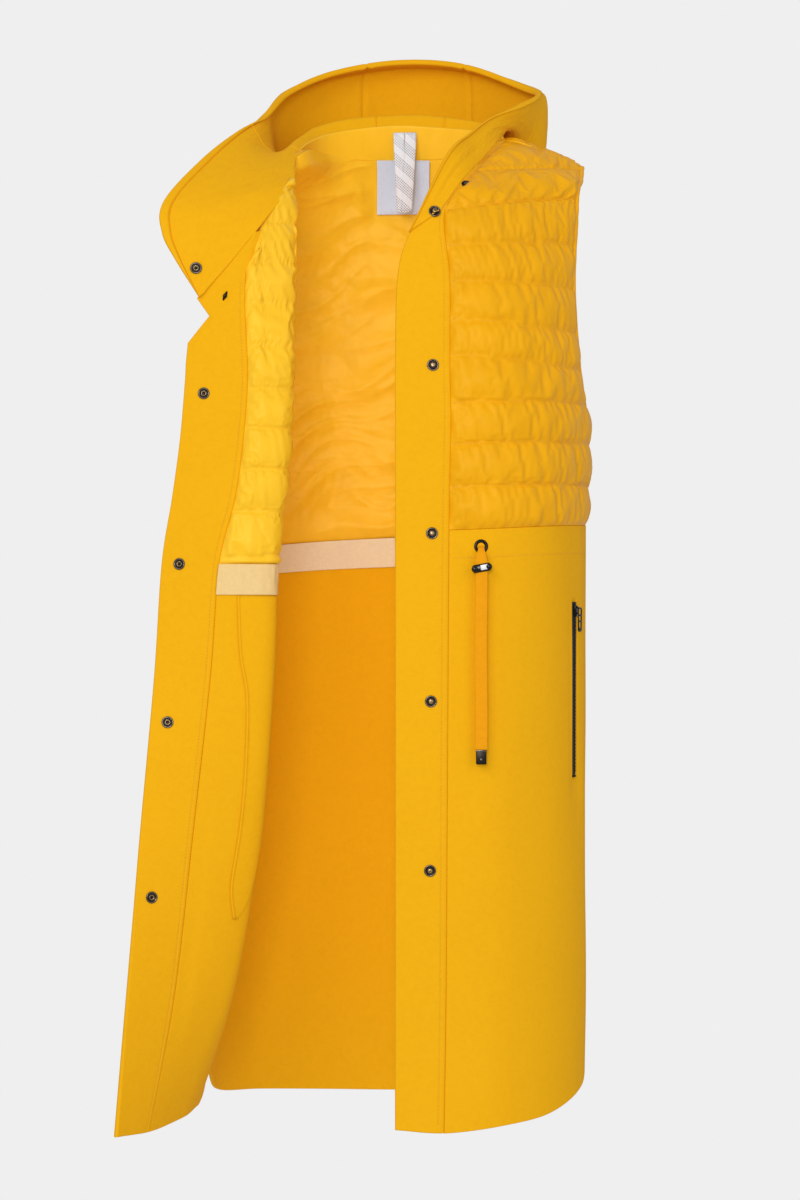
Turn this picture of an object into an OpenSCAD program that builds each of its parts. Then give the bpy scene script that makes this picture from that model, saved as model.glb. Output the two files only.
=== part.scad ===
// Hooded wool gilet: wool skirt, plackets and hood, quilted bodice, snaps, zip pockets, waist drawcord.
// Origin: centre of the neck opening at the height of the left neck point. +X wearer's left, -Y front, +Z up.

/* [Fabric] */
// Thickness of the wool felt
wool_t = 3; // [2:0.5:4]
// Thickness of the wadding between shell and lining
wadding_t = 3; // [2:0.5:4]
// Thickness of the nylon shell and of the lining
nylon_t = 0.9; // [0.6:0.1:1.2]
// Height of the waist tape inside
tape_h = 36; // [30:1:42]

/* [Hardware] */
// Diameter of the snap caps
snap_d = 12; // [10:0.5:14]
// Outer diameter of the eyelet rings
eyelet_d = 14; // [12:0.5:16]
// Length of the pocket zips
zip_l = 180; // [150:5:200]
// Width of the flat drawcord
cord_w = 12; // [9:0.5:14]

/* [Hidden] */

gap = 0.012;                     // share of a net cell left free beside an upright seam
row_gap = 0.006;                 // the same along a level seam, where cells are taller
swing_gap = 0.09;                // share left free where a front swings under the fixed yoke
air = 0.2;                       // free space between the layers of one panel
wool_in = -wool_t / 2;
wool_out = wool_t / 2;
wad_in = -wadding_t / 2;
wad_out = wadding_t / 2;
yellow = [0.86, 0.62, 0.10];
nylon = [0.80, 0.56, 0.08];
inside = [0.84, 0.60, 0.12];
metal = [0.35, 0.34, 0.33];

// A row of net points that all stand at height z
function level(z, points) = [for (p = points) [p[0], p[1], z]];

// Left front: columns run from the front edge over the placket seam to the side; rows run from the hem up
FRONT_LEFT = [
    [[-5, -136, -1012], [44, -137, -1015], [100, -128, -1010], [150, -92, -1003], [183, -42, -985], [191, -3, -962]],
    level(-880, [[-5, -136], [46, -136], [102, -126], [152, -90], [185, -42], [192, -3]]),
    level(-720, [[-5, -136], [47, -136], [102, -126], [152, -90], [185, -42], [192, -3]]),
    level(-560, [[-5, -136], [48, -135], [102, -127], [152, -92], [184, -43], [193, -3]]),
    [[-5, -135, -412], [49, -134, -412], [100, -128, -410], [150, -96, -407], [182, -45, -405], [193, -3, -404]],
    level(-350, [[-5, -134], [50, -133], [100, -127], [150, -96], [184, -45], [194, -3]]),
    level(-300, [[-5, -133], [51, -132], [100, -126], [150, -95], [184, -46], [194, -8]]),
    level(-240, [[-5, -131], [50, -130], [98, -124], [145, -95], [172, -62], [184, -36]]),
    [[-2, -128, -152], [50, -126, -160], [95, -118, -160], [138, -92, -160], [165, -64, -160], [178, -46, -160]],
    [[14, -122, -104], [45, -117, -92], [90, -107, -90], [135, -82, -90], [165, -58, -90], [181, -42, -90]],
    [[38, -104, -62], [68, -92, -58], [98, -84, -58], [134, -68, -58], [162, -52, -58], [183, -34, -58]],
    [[66, -80, -30], [95, -44, -22], [115, -42, -27], [140, -38, -34], [165, -31, -41], [187, -19, -48]],
    [[84, -40, -4], [111, 4, 0], [131, 4, -7], [151, 4, -14], [170, 4, -21], [190, 4, -30]]
];

// Right front, folded back: front edge, placket seam, two on the turned face, two at the fold, two behind, side
FRONT_RIGHT = [
    [[-282, -165, -1014], [-253, -124, -1016], [-236, -98, -1014], [-222, -72, -1010],
     [-214, -46, -1004], [-210, -34, -1002], [-206, -20, -995], [-203, -3, -985]],
    level(-880, [[-272, -156], [-227, -124], [-206, -112], [-182, -94], [-172, -78], [-178, -62], [-194, -34], [-202, -3]]),
    level(-720, [[-260, -142], [-208, -128], [-184, -124], [-152, -114], [-143, -102], [-156, -88], [-186, -48], [-200, -3]]),
    level(-560, [[-247, -124], [-190, -128], [-164, -128], [-136, -122], [-130, -110], [-149, -98], [-184, -54], [-198, -3]]),
    [[-240, -116, -446], [-181, -128, -446], [-157, -129, -446], [-133, -124, -446],
     [-126, -112, -446], [-147, -98, -443], [-182, -56, -438], [-197, -3, -434]],
    level(-380, [[-230, -112], [-165, -126], [-145, -126], [-126, -121], [-119, -109], [-142, -94], [-180, -54], [-197, -3]]),
    level(-320, [[-222, -110], [-157, -123], [-138, -123], [-121, -117], [-114, -105], [-138, -90], [-178, -52], [-197, -7]]),
    [[-217, -110, -262], [-153, -119, -258], [-134, -117, -250], [-117, -112, -243],
     [-111, -100, -238], [-132, -86, -238], [-162, -66, -238], [-184, -36, -238]],
    [[-216, -110, -243], [-156, -115, -184], [-138, -108, -150], [-120, -96, -120],
     [-110, -82, -108], [-130, -74, -138], [-158, -60, -150], [-180, -42, -158]],
    [[-214, -111, -223], [-155, -113, -147], [-141, -102, -104], [-122, -80, -67],
     [-112, -60, -50], [-130, -60, -90], [-158, -50, -90], [-182, -34, -90]]
];

// Left yoke rows are the top of the left front; the right yoke is a little lower
YOKE_RIGHT = [
    [[-124, -48, -84], [-140, -50, -82], [-160, -44, -82], [-183, -31, -82]],
    [[-118, -18, -54], [-140, -22, -56], [-162, -18, -60], [-187, -14, -66]],
    [[-112, 3, -26], [-138, 3, -32], [-164, 3, -38], [-190, 3, -46]]
];

// Back: columns run from the left side to the right side; rows run from the hem up
BACK = [
    [[191, 5, -965], [187, 55, -985], [150, 110, -1005], [80, 134, -1015], [0, 138, -1017],
     [-80, 136, -1016], [-152, 112, -1012], [-192, 62, -1005], [-204, 8, -985]],
    level(-880, [[192, 5], [187, 55], [150, 108], [80, 131], [0, 135], [-80, 132], [-150, 110], [-190, 58], [-202, 5]]),
    level(-720, [[192, 5], [187, 54], [150, 106], [80, 128], [0, 131], [-80, 129], [-150, 107], [-188, 56], [-200, 5]]),
    level(-560, [[193, 5], [187, 53], [150, 104], [80, 126], [0, 128], [-80, 126], [-150, 105], [-188, 54], [-198, 5]]),
    [[193, 5, -404], [187, 52, -405], [150, 102, -408], [80, 123, -411], [0, 125, -414],
     [-80, 124, -418], [-150, 103, -424], [-188, 52, -428], [-197, 5, -432]],
    level(-352, [[194, 5], [188, 50], [150, 102], [80, 123], [0, 125], [-80, 123], [-150, 102], [-188, 50], [-197, 5]]),
    level(-302, [[194, 9], [188, 48], [151, 100], [80, 122], [0, 124], [-80, 122], [-151, 100], [-189, 48], [-196, 9]]),
    level(-240, [[185, 36], [178, 62], [148, 98], [80, 121], [0, 123], [-80, 121], [-148, 98], [-178, 62], [-184, 36]]),
    level(-160, [[179, 46], [170, 68], [142, 98], [78, 120], [0, 122], [-78, 120], [-142, 98], [-170, 68], [-180, 44]]),
    [[182, 42, -90], [166, 66, -90], [134, 94, -90], [72, 115, -90], [0, 118, -90],
     [-72, 114, -92], [-134, 92, -96], [-166, 64, -100], [-182, 38, -102]],
    [[187, 24, -50], [156, 40, -42], [122, 58, -36], [70, 100, -36], [0, 112, -36],
     [-70, 99, -38], [-122, 56, -46], [-156, 38, -54], [-187, 22, -64]],
    [[190, 6, -30], [151, 6, -14], [112, 10, -3], [70, 85, -6], [0, 104, -4],
     [-70, 83, -8], [-110, 8, -26], [-151, 6, -35], [-190, 6, -46]]
];

// Hood columns from the left front end round the neck to the right front end: seam point, rim point, bag depth
HOOD = [
    [[42, -119, -88], [12, -126, -106], 0],
    [[66, -96, -52], [47, -99, -31], 0],
    [[86, -62, -27], [70, -62, -4], 0],
    [[101, -28, -5], [94, -24, 19], 0],
    [[108, 15, 8], [130, 12, 40], 6],
    [[102, 50, 14], [146, 52, 56], 22],
    [[82, 80, 20], [134, 100, 71], 60],
    [[46, 94, 24], [70, 158, 106], 110],
    [[0, 100, 26], [0, 176, 114], 136],
    [[-46, 92, 23], [-70, 156, 99], 110],
    [[-82, 74, 16], [-118, 112, 70], 60],
    [[-100, 40, 2], [-142, 62, 37], 24],
    [[-110, -8, -20], [-172, 8, 8], 6],
    [[-113, -48, -44], [-206, -45, -30], 0],
    [[-124, -80, -66], [-240, -98, -80], 0],
    [[-144, -104, -98], [-240, -112, -112], 0],
    [[-170, -116, -136], [-226, -117, -140], 0],
    [[-198, -119, -174], [-202, -120, -178], 0]
];
HOOD_LEFT_AT = 6;                // column where the left side panel meets the centre panel
HOOD_RIGHT_AT = 10;
HOOD_END_LEFT = 1.35;            // columns where the ends that swing with the fronts begin
HOOD_END_RIGHT = 13.4;
hood_gap = 0.03;                 // share of a column left free beside the two seams of the centre panel
FULL_BAG = 60;                   // bag depth from which a column has the whole pouch profile
// Shares of the seam-to-rim distance, sideways and upwards, and of the bag depth along the pouch profile
PROFILE = [
    [0, 0, 0], [0.21, 0.14, 0], [0.49, 0, 0.63], [0.9, 0, 1],
    [1.29, 0, 0.63], [1.38, 0.05, 0], [1.32, 0.86, 0], [1, 1, 0]
];
function mix(a, b, w) = a + (b - a) * w;
function hood_point(column, k) =
    let (
        seam = column[0],
        rim = column[1],
        depth = column[2],
        whole = min(1, depth / FULL_BAG),
        even = k / (len(PROFILE) - 1),
        side = mix(even, PROFILE[k][0], whole),
        up = mix(even, PROFILE[k][1], whole)
    )
    [mix(seam[0], rim[0], side), mix(seam[1], rim[1], side), mix(seam[2], rim[2], up) - depth * PROFILE[k][2]];
HOOD_NET = [for (k = [0:len(PROFILE) - 1]) [for (column = HOOD) hood_point(column, k)]];

// Smooth curve through control points
function cubic(a, b, c, d, t) =
    0.5 * (2 * b + (c - a) * t + (2 * a - 5 * b + 4 * c - d) * t * t + (3 * b - a - 3 * c + d) * t * t * t);
function at(list, i) =
    i < 0 ? 2 * list[0] - list[1]
    : i > len(list) - 1 ? 2 * list[len(list) - 1] - list[len(list) - 2]
    : list[i];
function spline(list, t) =
    let (i = max(0, min(floor(t), len(list) - 2)))
    cubic(at(list, i - 1), at(list, i), at(list, i + 1), at(list, i + 2), t - i);
function surf(net, u, v) =
    let (i = max(0, min(floor(v), len(net) - 2)))
    let (near = [for (k = [i - 1:i + 2]) spline(net[max(0, min(k, len(net) - 1))], u)])
    let (low = i == 0 ? 2 * near[1] - near[2] : near[0])
    let (high = i == len(net) - 2 ? 2 * near[2] - near[1] : near[3])
    cubic(low, near[1], near[2], high, v - i);
function unit(v) = v / norm(v);
function normal(net, u, v) =
    let (e = 0.02)
    unit(cross(surf(net, u + e, v) - surf(net, u - e, v), surf(net, u, v + e) - surf(net, u, v - e)));
function on(net, u, v, d) = surf(net, u, v) + d * normal(net, u, v);
function steps(a, b, n) = [for (i = [0:n]) a + (b - a) * i / n];

// A closed sheet over part of a net, between two heights along the net's normal
module cloth(net, us, vs, d0, d1) {
    nu = len(us);
    nv = len(vs);
    layer = nu * nv;
    points = concat(
        [for (v = vs, u = us) on(net, u, v, d0)],
        [for (v = vs, u = us) on(net, u, v, d1)]
    );
    edge = concat(
        [for (i = [0:nu - 2]) i],
        [for (j = [0:nv - 2]) j * nu + nu - 1],
        [for (i = [nu - 1:-1:1]) (nv - 1) * nu + i],
        [for (j = [nv - 1:-1:1]) j * nu]
    );
    count = len(edge);
    faces = concat(
        [for (j = [0:nv - 2], i = [0:nu - 2]) [j * nu + i, j * nu + i + 1, (j + 1) * nu + i + 1]],
        [for (j = [0:nv - 2], i = [0:nu - 2]) [j * nu + i, (j + 1) * nu + i + 1, (j + 1) * nu + i]],
        [for (j = [0:nv - 2], i = [0:nu - 2])
            [layer + j * nu + i, layer + (j + 1) * nu + i + 1, layer + j * nu + i + 1]],
        [for (j = [0:nv - 2], i = [0:nu - 2])
            [layer + j * nu + i, layer + (j + 1) * nu + i, layer + (j + 1) * nu + i + 1]],
        [for (k = [0:count - 1]) [edge[k], layer + edge[k], layer + edge[(k + 1) % count]]],
        [for (k = [0:count - 1]) [edge[k], layer + edge[(k + 1) % count], edge[(k + 1) % count]]]
    );
    polyhedron(points, faces);
}

// Places children on a net: local +Z along the outward normal, local Y as near up as it goes
module seat(net, u, v, d, side) {
    n = side * normal(net, u, v);
    x = unit(cross([0, 0, 1], n));
    y = cross(n, x);
    p = surf(net, u, v) + d * n;
    multmatrix([
        [x[0], y[0], n[0], p[0]],
        [x[1], y[1], n[1], p[1]],
        [x[2], y[2], n[2], p[2]]
    ]) children();
}

// Parameter steps shared by the layers of a panel, so that their facets stay parallel
left_us = steps(1 + gap, 5 - gap, 12);
left_vs = steps(4 + row_gap, 10 - swing_gap, 12);
left_skirt_vs = steps(0, 4 - row_gap, 9);
right_us = steps(1 + gap, 7 - gap, 15);
right_vs = steps(4 + row_gap, 9, 11);
right_skirt_vs = steps(0, 4 - row_gap, 9);
back_us = steps(gap, 8 - gap, 20);
back_vs = steps(4 + row_gap, 11, 13);
back_skirt_vs = steps(0, 4 - row_gap, 8);
LEFT = 1;
RIGHT = -1;                      // the right front's net runs the other way, so its outside is turned

module shell_layer(net, us, vs, side) {
    a = side * (wad_out + air);
    b = side * (wad_out + air + nylon_t);
    color(nylon) cloth(net, us, vs, min(a, b), max(a, b));
}
module wadding_layer(net, us, vs) {
    color("white") cloth(net, us, vs, wad_in, wad_out);
}
module lining_layer(net, us, vs, side) {
    a = side * (wad_in - air);
    b = side * (wad_in - air - nylon_t);
    color(inside) cloth(net, us, vs, min(a, b), max(a, b));
}
module wool_layer(net, us, vs) {
    color(yellow) cloth(net, us, vs, wool_in, wool_out);
}

module back_shell() {
    shell_layer(BACK, back_us, back_vs, LEFT);
}
module back_wadding() {
    wadding_layer(BACK, back_us, back_vs);
}
module back_lining() {
    lining_layer(BACK, back_us, back_vs, LEFT);
}
module back_skirt() {
    wool_layer(BACK, back_us, back_skirt_vs);
}

// Waist tapes lie on the inside of the wool, just under the waist seam
tape_row_left = 4 - tape_h / 148;
tape_row_right = 4 - tape_h / 114;
tape_row_back = 4 - tape_h / 138;
tape_in = 2.6;
tape_out = 3.6;
module back_waist_tape() {
    color([0.78, 0.68, 0.50]) cloth(BACK, back_us, [tape_row_back, 4 - 2 * row_gap], -tape_out, -tape_in);
}

// The neckband stands between the back neckline and the hood seam
NECKBAND = [
    [[111, 12, 0], [98, 54, 0], [70, 84, -1], [36, 98, 0], [0, 103, 0],
     [-36, 97, -1], [-70, 81, -3], [-98, 48, -10], [-110, 10, -20]],
    [[107, 14, 6], [98, 50, 12], [74, 79, 17], [38, 92, 21], [0, 96, 23],
     [-38, 91, 20], [-74, 75, 13], [-97, 42, 1], [-108, 4, -14]]
];
module neckband() {
    color(yellow) cloth(NECKBAND, steps(0.1, 7.9, 16), [0.05, 0.5, 0.92], wool_in, wool_out);
}
label_out = wad_out + air + nylon_t + 1.8;
label_t = 1;
module neck_label() {
    color([0.86, 0.85, 0.88])
        cloth(BACK, steps(3.55, 4.35, 4), steps(9.45, 10.95, 6), -label_out - label_t, -label_out);
}

// The right end of the neckband, between the right placket's slanted top and the hood seam
NECKBAND_RIGHT = [
    [[-187, -114, -194], [-171, -115, -171], [-158, -114, -148], [-146, -109, -110]],
    [[-200, -115, -176], [-184, -116, -157], [-165, -114, -128], [-144, -106, -101]]
];
module front_right_neckband() {
    color(yellow) cloth(NECKBAND_RIGHT, steps(0, 3, 8), steps(0.12, 0.88, 3), wool_in, wool_out);
}

// Yokes: the fixed shoulders in front of the shoulder seams
yoke_in = wad_in - nylon_t;
yoke_out = wad_out + nylon_t;
module yoke_left() {
    color(nylon) cloth(FRONT_LEFT, left_us, steps(10 + swing_gap, 12 - gap, 5), yoke_in, yoke_out);
}
module yoke_right() {
    color(nylon) cloth(YOKE_RIGHT, steps(0, 3, 8), steps(0, 2 - gap, 5), yoke_in, yoke_out);
}

// Armhole bindings: the back's armhole edge is bound from the underarm to the shoulder
binding_w = 0.05;
module binding(net, u, v0, v1) {
    color(nylon) cloth(net, [u, u + binding_w], steps(v0, v1, 9), -2.6, 2.6);
}
module armhole_binding_left() {
    binding(BACK, -binding_w, 6.2, 10.95);
}
module armhole_binding_right() {
    binding(BACK, 8, 6.2, 10.95);
}

// Hood: three panels, plus the two ends that swing with the fronts
module hood_part(u0, u1, n) {
    color(yellow) cloth(HOOD_NET, steps(u0, u1, n), steps(0.12, 7, 12), wool_in, wool_out);
}
module hood_left() {
    hood_part(HOOD_END_LEFT + 0.12, HOOD_LEFT_AT - hood_gap, 10);
}
module hood_right() {
    hood_part(HOOD_RIGHT_AT + hood_gap, HOOD_END_RIGHT - 0.12, 8);
}
module hood_center() {
    hood_part(HOOD_LEFT_AT + hood_gap, HOOD_RIGHT_AT - hood_gap, 12);
}
module hood_end(u0, u1) {
    color(yellow) cloth(HOOD_NET, steps(u0, u1, 6), steps(0.12, 7, 3), wool_in, wool_out);
}
module front_left_hood_end() {
    hood_end(0, HOOD_END_LEFT);
}
module front_right_hood_end() {
    hood_end(HOOD_END_RIGHT, 17);
}
module hood_flap_snap() {
    seat(HOOD_NET, 16.27, 4.53, wool_out, -1) snap_socket();
}

// Hanger loop: a folded ribbon with two legs that meet at the bottom
loop_top = 18;
loop_drop = 82;
loop_y = 93;
module hanger_loop() {
    outline = [
        [-8, loop_top], [4.5, loop_top], [5, loop_top - 10], [5.5, loop_top], [19, loop_top],
        [12.5, loop_top - loop_drop + 6], [10, loop_top - loop_drop], [0, loop_top - loop_drop],
        [-3, loop_top - loop_drop + 6]
    ];
    color("white") translate([0, loop_y, 0]) rotate([90, 0, 0]) linear_extrude(1.2) polygon(outline);
}

// Snaps
post_r = 2.2;
module snap_stud() {
    color(metal) {
        cylinder(h = 1.4, d = snap_d, $fn = 48);
        translate([0, 0, 1.4]) cylinder(h = 1.8, r = post_r, $fn = 48);
        translate([0, 0, -wool_t - 3.2]) cylinder(h = wool_t + 3.2, r = post_r, $fn = 48);
        translate([0, 0, -wool_t - 4.2]) cylinder(h = 1, d = snap_d - 2, $fn = 48);
    }
}
module snap_socket() {
    color(metal) {
        difference() {
            cylinder(h = 2.4, d = snap_d, $fn = 48);
            translate([0, 0, 0.8]) cylinder(h = 3, r = post_r + 0.2, $fn = 48);
        }
        translate([0, 0, -wool_t - 3.2]) cylinder(h = wool_t + 3.2, r = post_r, $fn = 48);
        translate([0, 0, -wool_t - 4.2]) cylinder(h = 1, d = snap_d - 2, $fn = 48);
    }
}
placket_t = 2.6;                 // half the thickness of the doubled placket
snap_rows_left = [1.80, 2.85, 3.97, 6.9, 9.05];
snap_rows_right = [1.64, 2.70, 4.0, 6.75];
snap_across_left = 0.68;
snap_across_right = 0.30;
module front_left_snaps() {
    for (v = snap_rows_left) seat(FRONT_LEFT, snap_across_left, v, placket_t, LEFT) snap_stud();
    seat(FRONT_LEFT, 1.25, 9.7, 3, LEFT) cylinder(h = 1.4, d = snap_d - 2, $fn = 48);
}
module front_right_snaps() {
    for (v = snap_rows_right) seat(FRONT_RIGHT, snap_across_right, v, placket_t, LEFT) snap_socket();
}

// Left front
module front_left_shell() {
    shell_layer(FRONT_LEFT, left_us, left_vs, LEFT);
}
module front_left_wadding() {
    wadding_layer(FRONT_LEFT, left_us, left_vs);
}
module front_left_lining() {
    lining_layer(FRONT_LEFT, left_us, left_vs, LEFT);
}
module front_left_placket() {
    color(yellow) cloth(FRONT_LEFT, [0, 0.5, 1 - gap], steps(0, 9, 22), -placket_t, placket_t);
}
module front_left_waist_tape() {
    color([0.78, 0.68, 0.50]) cloth(FRONT_LEFT, left_us, [tape_row_left, 4 - 2 * row_gap], -tape_out, -tape_in);
}

// Zips: a slot in the skirt, two tapes with teeth, stops at both ends
zip_u_left = 3.78;
zip_u_right = 5.9;
zip_top = -484;
slot_w = 7;
zip_angle_left = 62;
zip_angle_right = -58;
function zip_place_left() = surf(FRONT_LEFT, zip_u_left, 3.35);
function zip_place_right() = surf(FRONT_RIGHT, zip_u_right, 3.35);
module at_zip(place, angle) {
    translate([place[0], place[1], zip_top]) rotate([0, 0, angle]) children();
}
module slot_cutter(place, angle) {
    at_zip(place, angle) translate([-slot_w / 2, -9, -zip_l]) cube([slot_w, 18, zip_l]);
}
tape_half = 2.6;                 // half the width of the tape that runs through the slider
end_tack = 2;
module zip_tape(place, angle) {
    at_zip(place, angle) {
        color("black") translate([-tape_half, -0.5, -zip_l]) cube([2 * tape_half, 1, zip_l]);
        color("dimgray") translate([-0.8, -1.1, -zip_l + end_tack]) cube([1.6, 2.2, zip_l - 2 * end_tack]);
        color("dimgray") for (z = [-end_tack, -zip_l]) translate([-slot_w / 2 - 0.5, -1.1, z])
            cube([slot_w + 1, 2.2, end_tack]);
    }
}
slider_l = 12;
slider_top = -3.4;               // slider's upper end when the zip is closed
slider_w = 6.4;
slider_t = 6.8;
bail_y = -6.4;
module zip_slider(place, angle) {
    color("black") at_zip(place, angle) translate([0, 0, slider_top - slider_l]) {
        difference() {
            translate([-slider_w / 2, -slider_t / 2, 0]) cube([slider_w, slider_t, slider_l]);
            translate([-tape_half - 0.1, -1.5, -1]) cube([2 * tape_half + 0.2, 3, slider_l + 2]);
        }
        for (z = [3, 8]) translate([-1, bail_y, z]) cube([2, 3.5, 1.2]);
        translate([-1, bail_y, 3]) cube([2, 1, 6.2]);
    }
}
pull_l = 24;
pull_out = 2.2;                  // from the bail's face to the pull's outer face
module zip_pull(place, angle) {
    color("black") at_zip(place, angle) translate([0, bail_y - pull_out, slider_top - slider_l / 2]) difference() {
        translate([-3.4, 0, -pull_l + 3]) cube([6.8, 1.4, pull_l]);
        for (i = [0:2]) translate([-2.2, -1, -pull_l + 5.5 + 6.5 * i]) cube([4.4, 4, 4.6]);
    }
}
module front_left_skirt() {
    color(yellow) difference() {
        cloth(FRONT_LEFT, left_us, left_skirt_vs, wool_in, wool_out);
        slot_cutter(zip_place_left(), zip_angle_left);
        seat(FRONT_LEFT, eyelet_u_left, eyelet_v, -5, LEFT) cylinder(h = 10, r = eyelet_hole, $fn = 48);
    }
}
module front_left_zip_tape() {
    zip_tape(zip_place_left(), zip_angle_left);
}
module zip_slider_left() {
    zip_slider(zip_place_left(), zip_angle_left);
}
module zip_pull_left() {
    zip_pull(zip_place_left(), zip_angle_left);
}

// Pocket bags: two leaves inside the skirt
bag_in = 6;                      // depth of the outer leaf behind the wool
module pocket_bag(net, us, vs, side) {
    color("gold") for (d = [bag_in, bag_in + 2]) {
        a = -side * d;
        b = -side * (d + 0.9);
        cloth(net, us, vs, min(a, b), max(a, b));
    }
}
module front_left_pocket_bag() {
    pocket_bag(FRONT_LEFT, steps(2.2, 4.6, 7), steps(1.45, 3.6, 6), LEFT);
}

// Eyelets and the drawcord
eyelet_u_left = 1.62;
eyelet_u_right = 2.1;
eyelet_v = 3.85;
eyelet_hole = 4.5;
module eyelet() {
    color(metal) difference() {
        union() {
            translate([0, 0, wool_out]) cylinder(h = 1, d = eyelet_d, $fn = 64);
            translate([0, 0, wool_in - 1]) cylinder(h = wool_t + 1.5, r = eyelet_hole, $fn = 64);
            translate([0, 0, wool_in - 1]) cylinder(h = 1, d = eyelet_d, $fn = 64);
        }
        translate([0, 0, -8]) cylinder(h = 16, r = eyelet_hole - 0.8, $fn = 64);
    }
}
module front_left_eyelet() {
    seat(FRONT_LEFT, eyelet_u_left, eyelet_v, 0, LEFT) eyelet();
}
CORD_PATH = [
    [81, -131, -428.8], [81, -134, -429], [81, -137, -430], [81, -140, -432.5], [81, -143, -438],
    [81, -144, -448], [81, -144, -462], [81, -144, -480], [81, -144, -500], [81, -144, -522],
    [81, -144, -544], [81, -144, -566], [81, -144, -588], [81, -144, -604], [81, -144, -618],
    [81, -144, -632]
];
cord_t = 2.6;
cord_sides = 8;
function cord_ring(i) =
    let (
        before = CORD_PATH[max(0, i - 1)],
        after = CORD_PATH[min(len(CORD_PATH) - 1, i + 1)],
        along = unit(after - before),
        across = unit(cross(along, cross([1, 0, 0], along))),
        thick = cross(along, across),
        width = i < 4 ? 6 : i == 4 ? 9 : cord_w
    )
    [for (k = [0:cord_sides - 1])
        CORD_PATH[i] + across * width / 2 * cos(360 * k / cord_sides + 22.5)
        + thick * cord_t / 2 * sin(360 * k / cord_sides + 22.5)];
module drawcord_left() {
    rings = len(CORD_PATH);
    n = cord_sides;
    points = [for (i = [0:rings - 1]) each cord_ring(i)];
    faces = concat(
        [[for (k = [0:n - 1]) k]],
        [[for (k = [n - 1:-1:0]) (rings - 1) * n + k]],
        [for (i = [0:rings - 2], k = [0:n - 1])
            [i * n + k, (i + 1) * n + k, (i + 1) * n + (k + 1) % n]],
        [for (i = [0:rings - 2], k = [0:n - 1])
            [i * n + k, (i + 1) * n + (k + 1) % n, i * n + (k + 1) % n]]
    );
    color("orange") polyhedron(points, faces);
}
module cord_end_left() {
    color(metal) translate([81 - 4.5, -146, -646]) cube([9, 4, 14]);
}
module cord_lock_left() {
    color("black") translate([81.5, -144, -450]) rotate([0, -10, 0]) difference() {
        translate([-9.5, -3.6, -4]) cube([19, 7.2, 8]);
        translate([-cord_w / 2 - 1.2, -1.8, -6]) cube([cord_w + 2.4, 3.6, 12]);
    }
}

// Right front
module front_right_shell() {
    shell_layer(FRONT_RIGHT, right_us, right_vs, RIGHT);
}
module front_right_wadding() {
    wadding_layer(FRONT_RIGHT, right_us, right_vs);
}
module front_right_lining() {
    lining_layer(FRONT_RIGHT, right_us, right_vs, RIGHT);
}
module front_right_skirt() {
    color(yellow) difference() {
        cloth(FRONT_RIGHT, right_us, right_skirt_vs, wool_in, wool_out);
        slot_cutter(zip_place_right(), zip_angle_right);
        seat(FRONT_RIGHT, eyelet_u_right, eyelet_v, -5, LEFT) cylinder(h = 10, r = eyelet_hole, $fn = 48);
    }
}
module front_right_placket() {
    color(yellow) cloth(FRONT_RIGHT, [0, 0.5, 1 - gap], steps(0, 9, 22), -placket_t, placket_t);
}
module front_right_waist_tape() {
    color([0.78, 0.68, 0.50]) cloth(FRONT_RIGHT, right_us, [tape_row_right, 4 - 2 * row_gap], tape_in, tape_out);
}
module front_right_pocket_bag() {
    pocket_bag(FRONT_RIGHT, steps(2.3, 6.6, 9), steps(1.3, 3.6, 6), RIGHT);
}
module front_right_zip_tape() {
    zip_tape(zip_place_right(), zip_angle_right);
}
module zip_slider_right() {
    zip_slider(zip_place_right(), zip_angle_right);
}
module zip_pull_right() {
    zip_pull(zip_place_right(), zip_angle_right);
}
module front_right_eyelet() {
    seat(FRONT_RIGHT, eyelet_u_right, eyelet_v, 0, RIGHT) eyelet();
}

back_shell();
back_wadding();
back_lining();
back_skirt();
back_waist_tape();
neckband();
neck_label();
yoke_left();
yoke_right();
armhole_binding_left();
armhole_binding_right();
hood_left();
hood_right();
hood_center();
hanger_loop();
front_left_shell();
front_left_wadding();
front_left_lining();
front_left_skirt();
front_left_placket();
front_left_waist_tape();
front_left_pocket_bag();
front_left_zip_tape();
front_left_snaps();
front_left_eyelet();
front_left_hood_end();
front_right_shell();
front_right_wadding();
front_right_lining();
front_right_skirt();
front_right_placket();
front_right_waist_tape();
front_right_pocket_bag();
front_right_zip_tape();
front_right_snaps();
front_right_eyelet();
front_right_neckband();
front_right_hood_end();
hood_flap_snap();
zip_slider_left();
zip_pull_left();
zip_slider_right();
zip_pull_right();
drawcord_left();
cord_end_left();
cord_lock_left();
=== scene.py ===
import math

import bmesh
import bpy
import numpy as np
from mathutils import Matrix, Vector


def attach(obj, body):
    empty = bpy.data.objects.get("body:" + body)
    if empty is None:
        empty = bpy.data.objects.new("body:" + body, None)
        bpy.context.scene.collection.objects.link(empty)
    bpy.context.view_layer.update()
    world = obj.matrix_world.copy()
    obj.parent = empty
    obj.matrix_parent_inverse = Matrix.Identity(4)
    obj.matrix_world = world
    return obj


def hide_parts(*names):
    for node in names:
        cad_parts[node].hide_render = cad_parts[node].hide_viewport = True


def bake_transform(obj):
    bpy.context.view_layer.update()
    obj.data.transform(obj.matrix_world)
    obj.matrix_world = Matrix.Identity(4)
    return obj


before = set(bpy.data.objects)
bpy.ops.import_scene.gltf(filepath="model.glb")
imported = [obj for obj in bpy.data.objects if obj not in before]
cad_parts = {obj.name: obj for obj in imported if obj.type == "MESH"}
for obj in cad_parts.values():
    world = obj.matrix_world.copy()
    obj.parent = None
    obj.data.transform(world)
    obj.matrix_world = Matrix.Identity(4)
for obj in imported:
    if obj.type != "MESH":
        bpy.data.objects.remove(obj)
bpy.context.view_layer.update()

MM = 0.001

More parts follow.
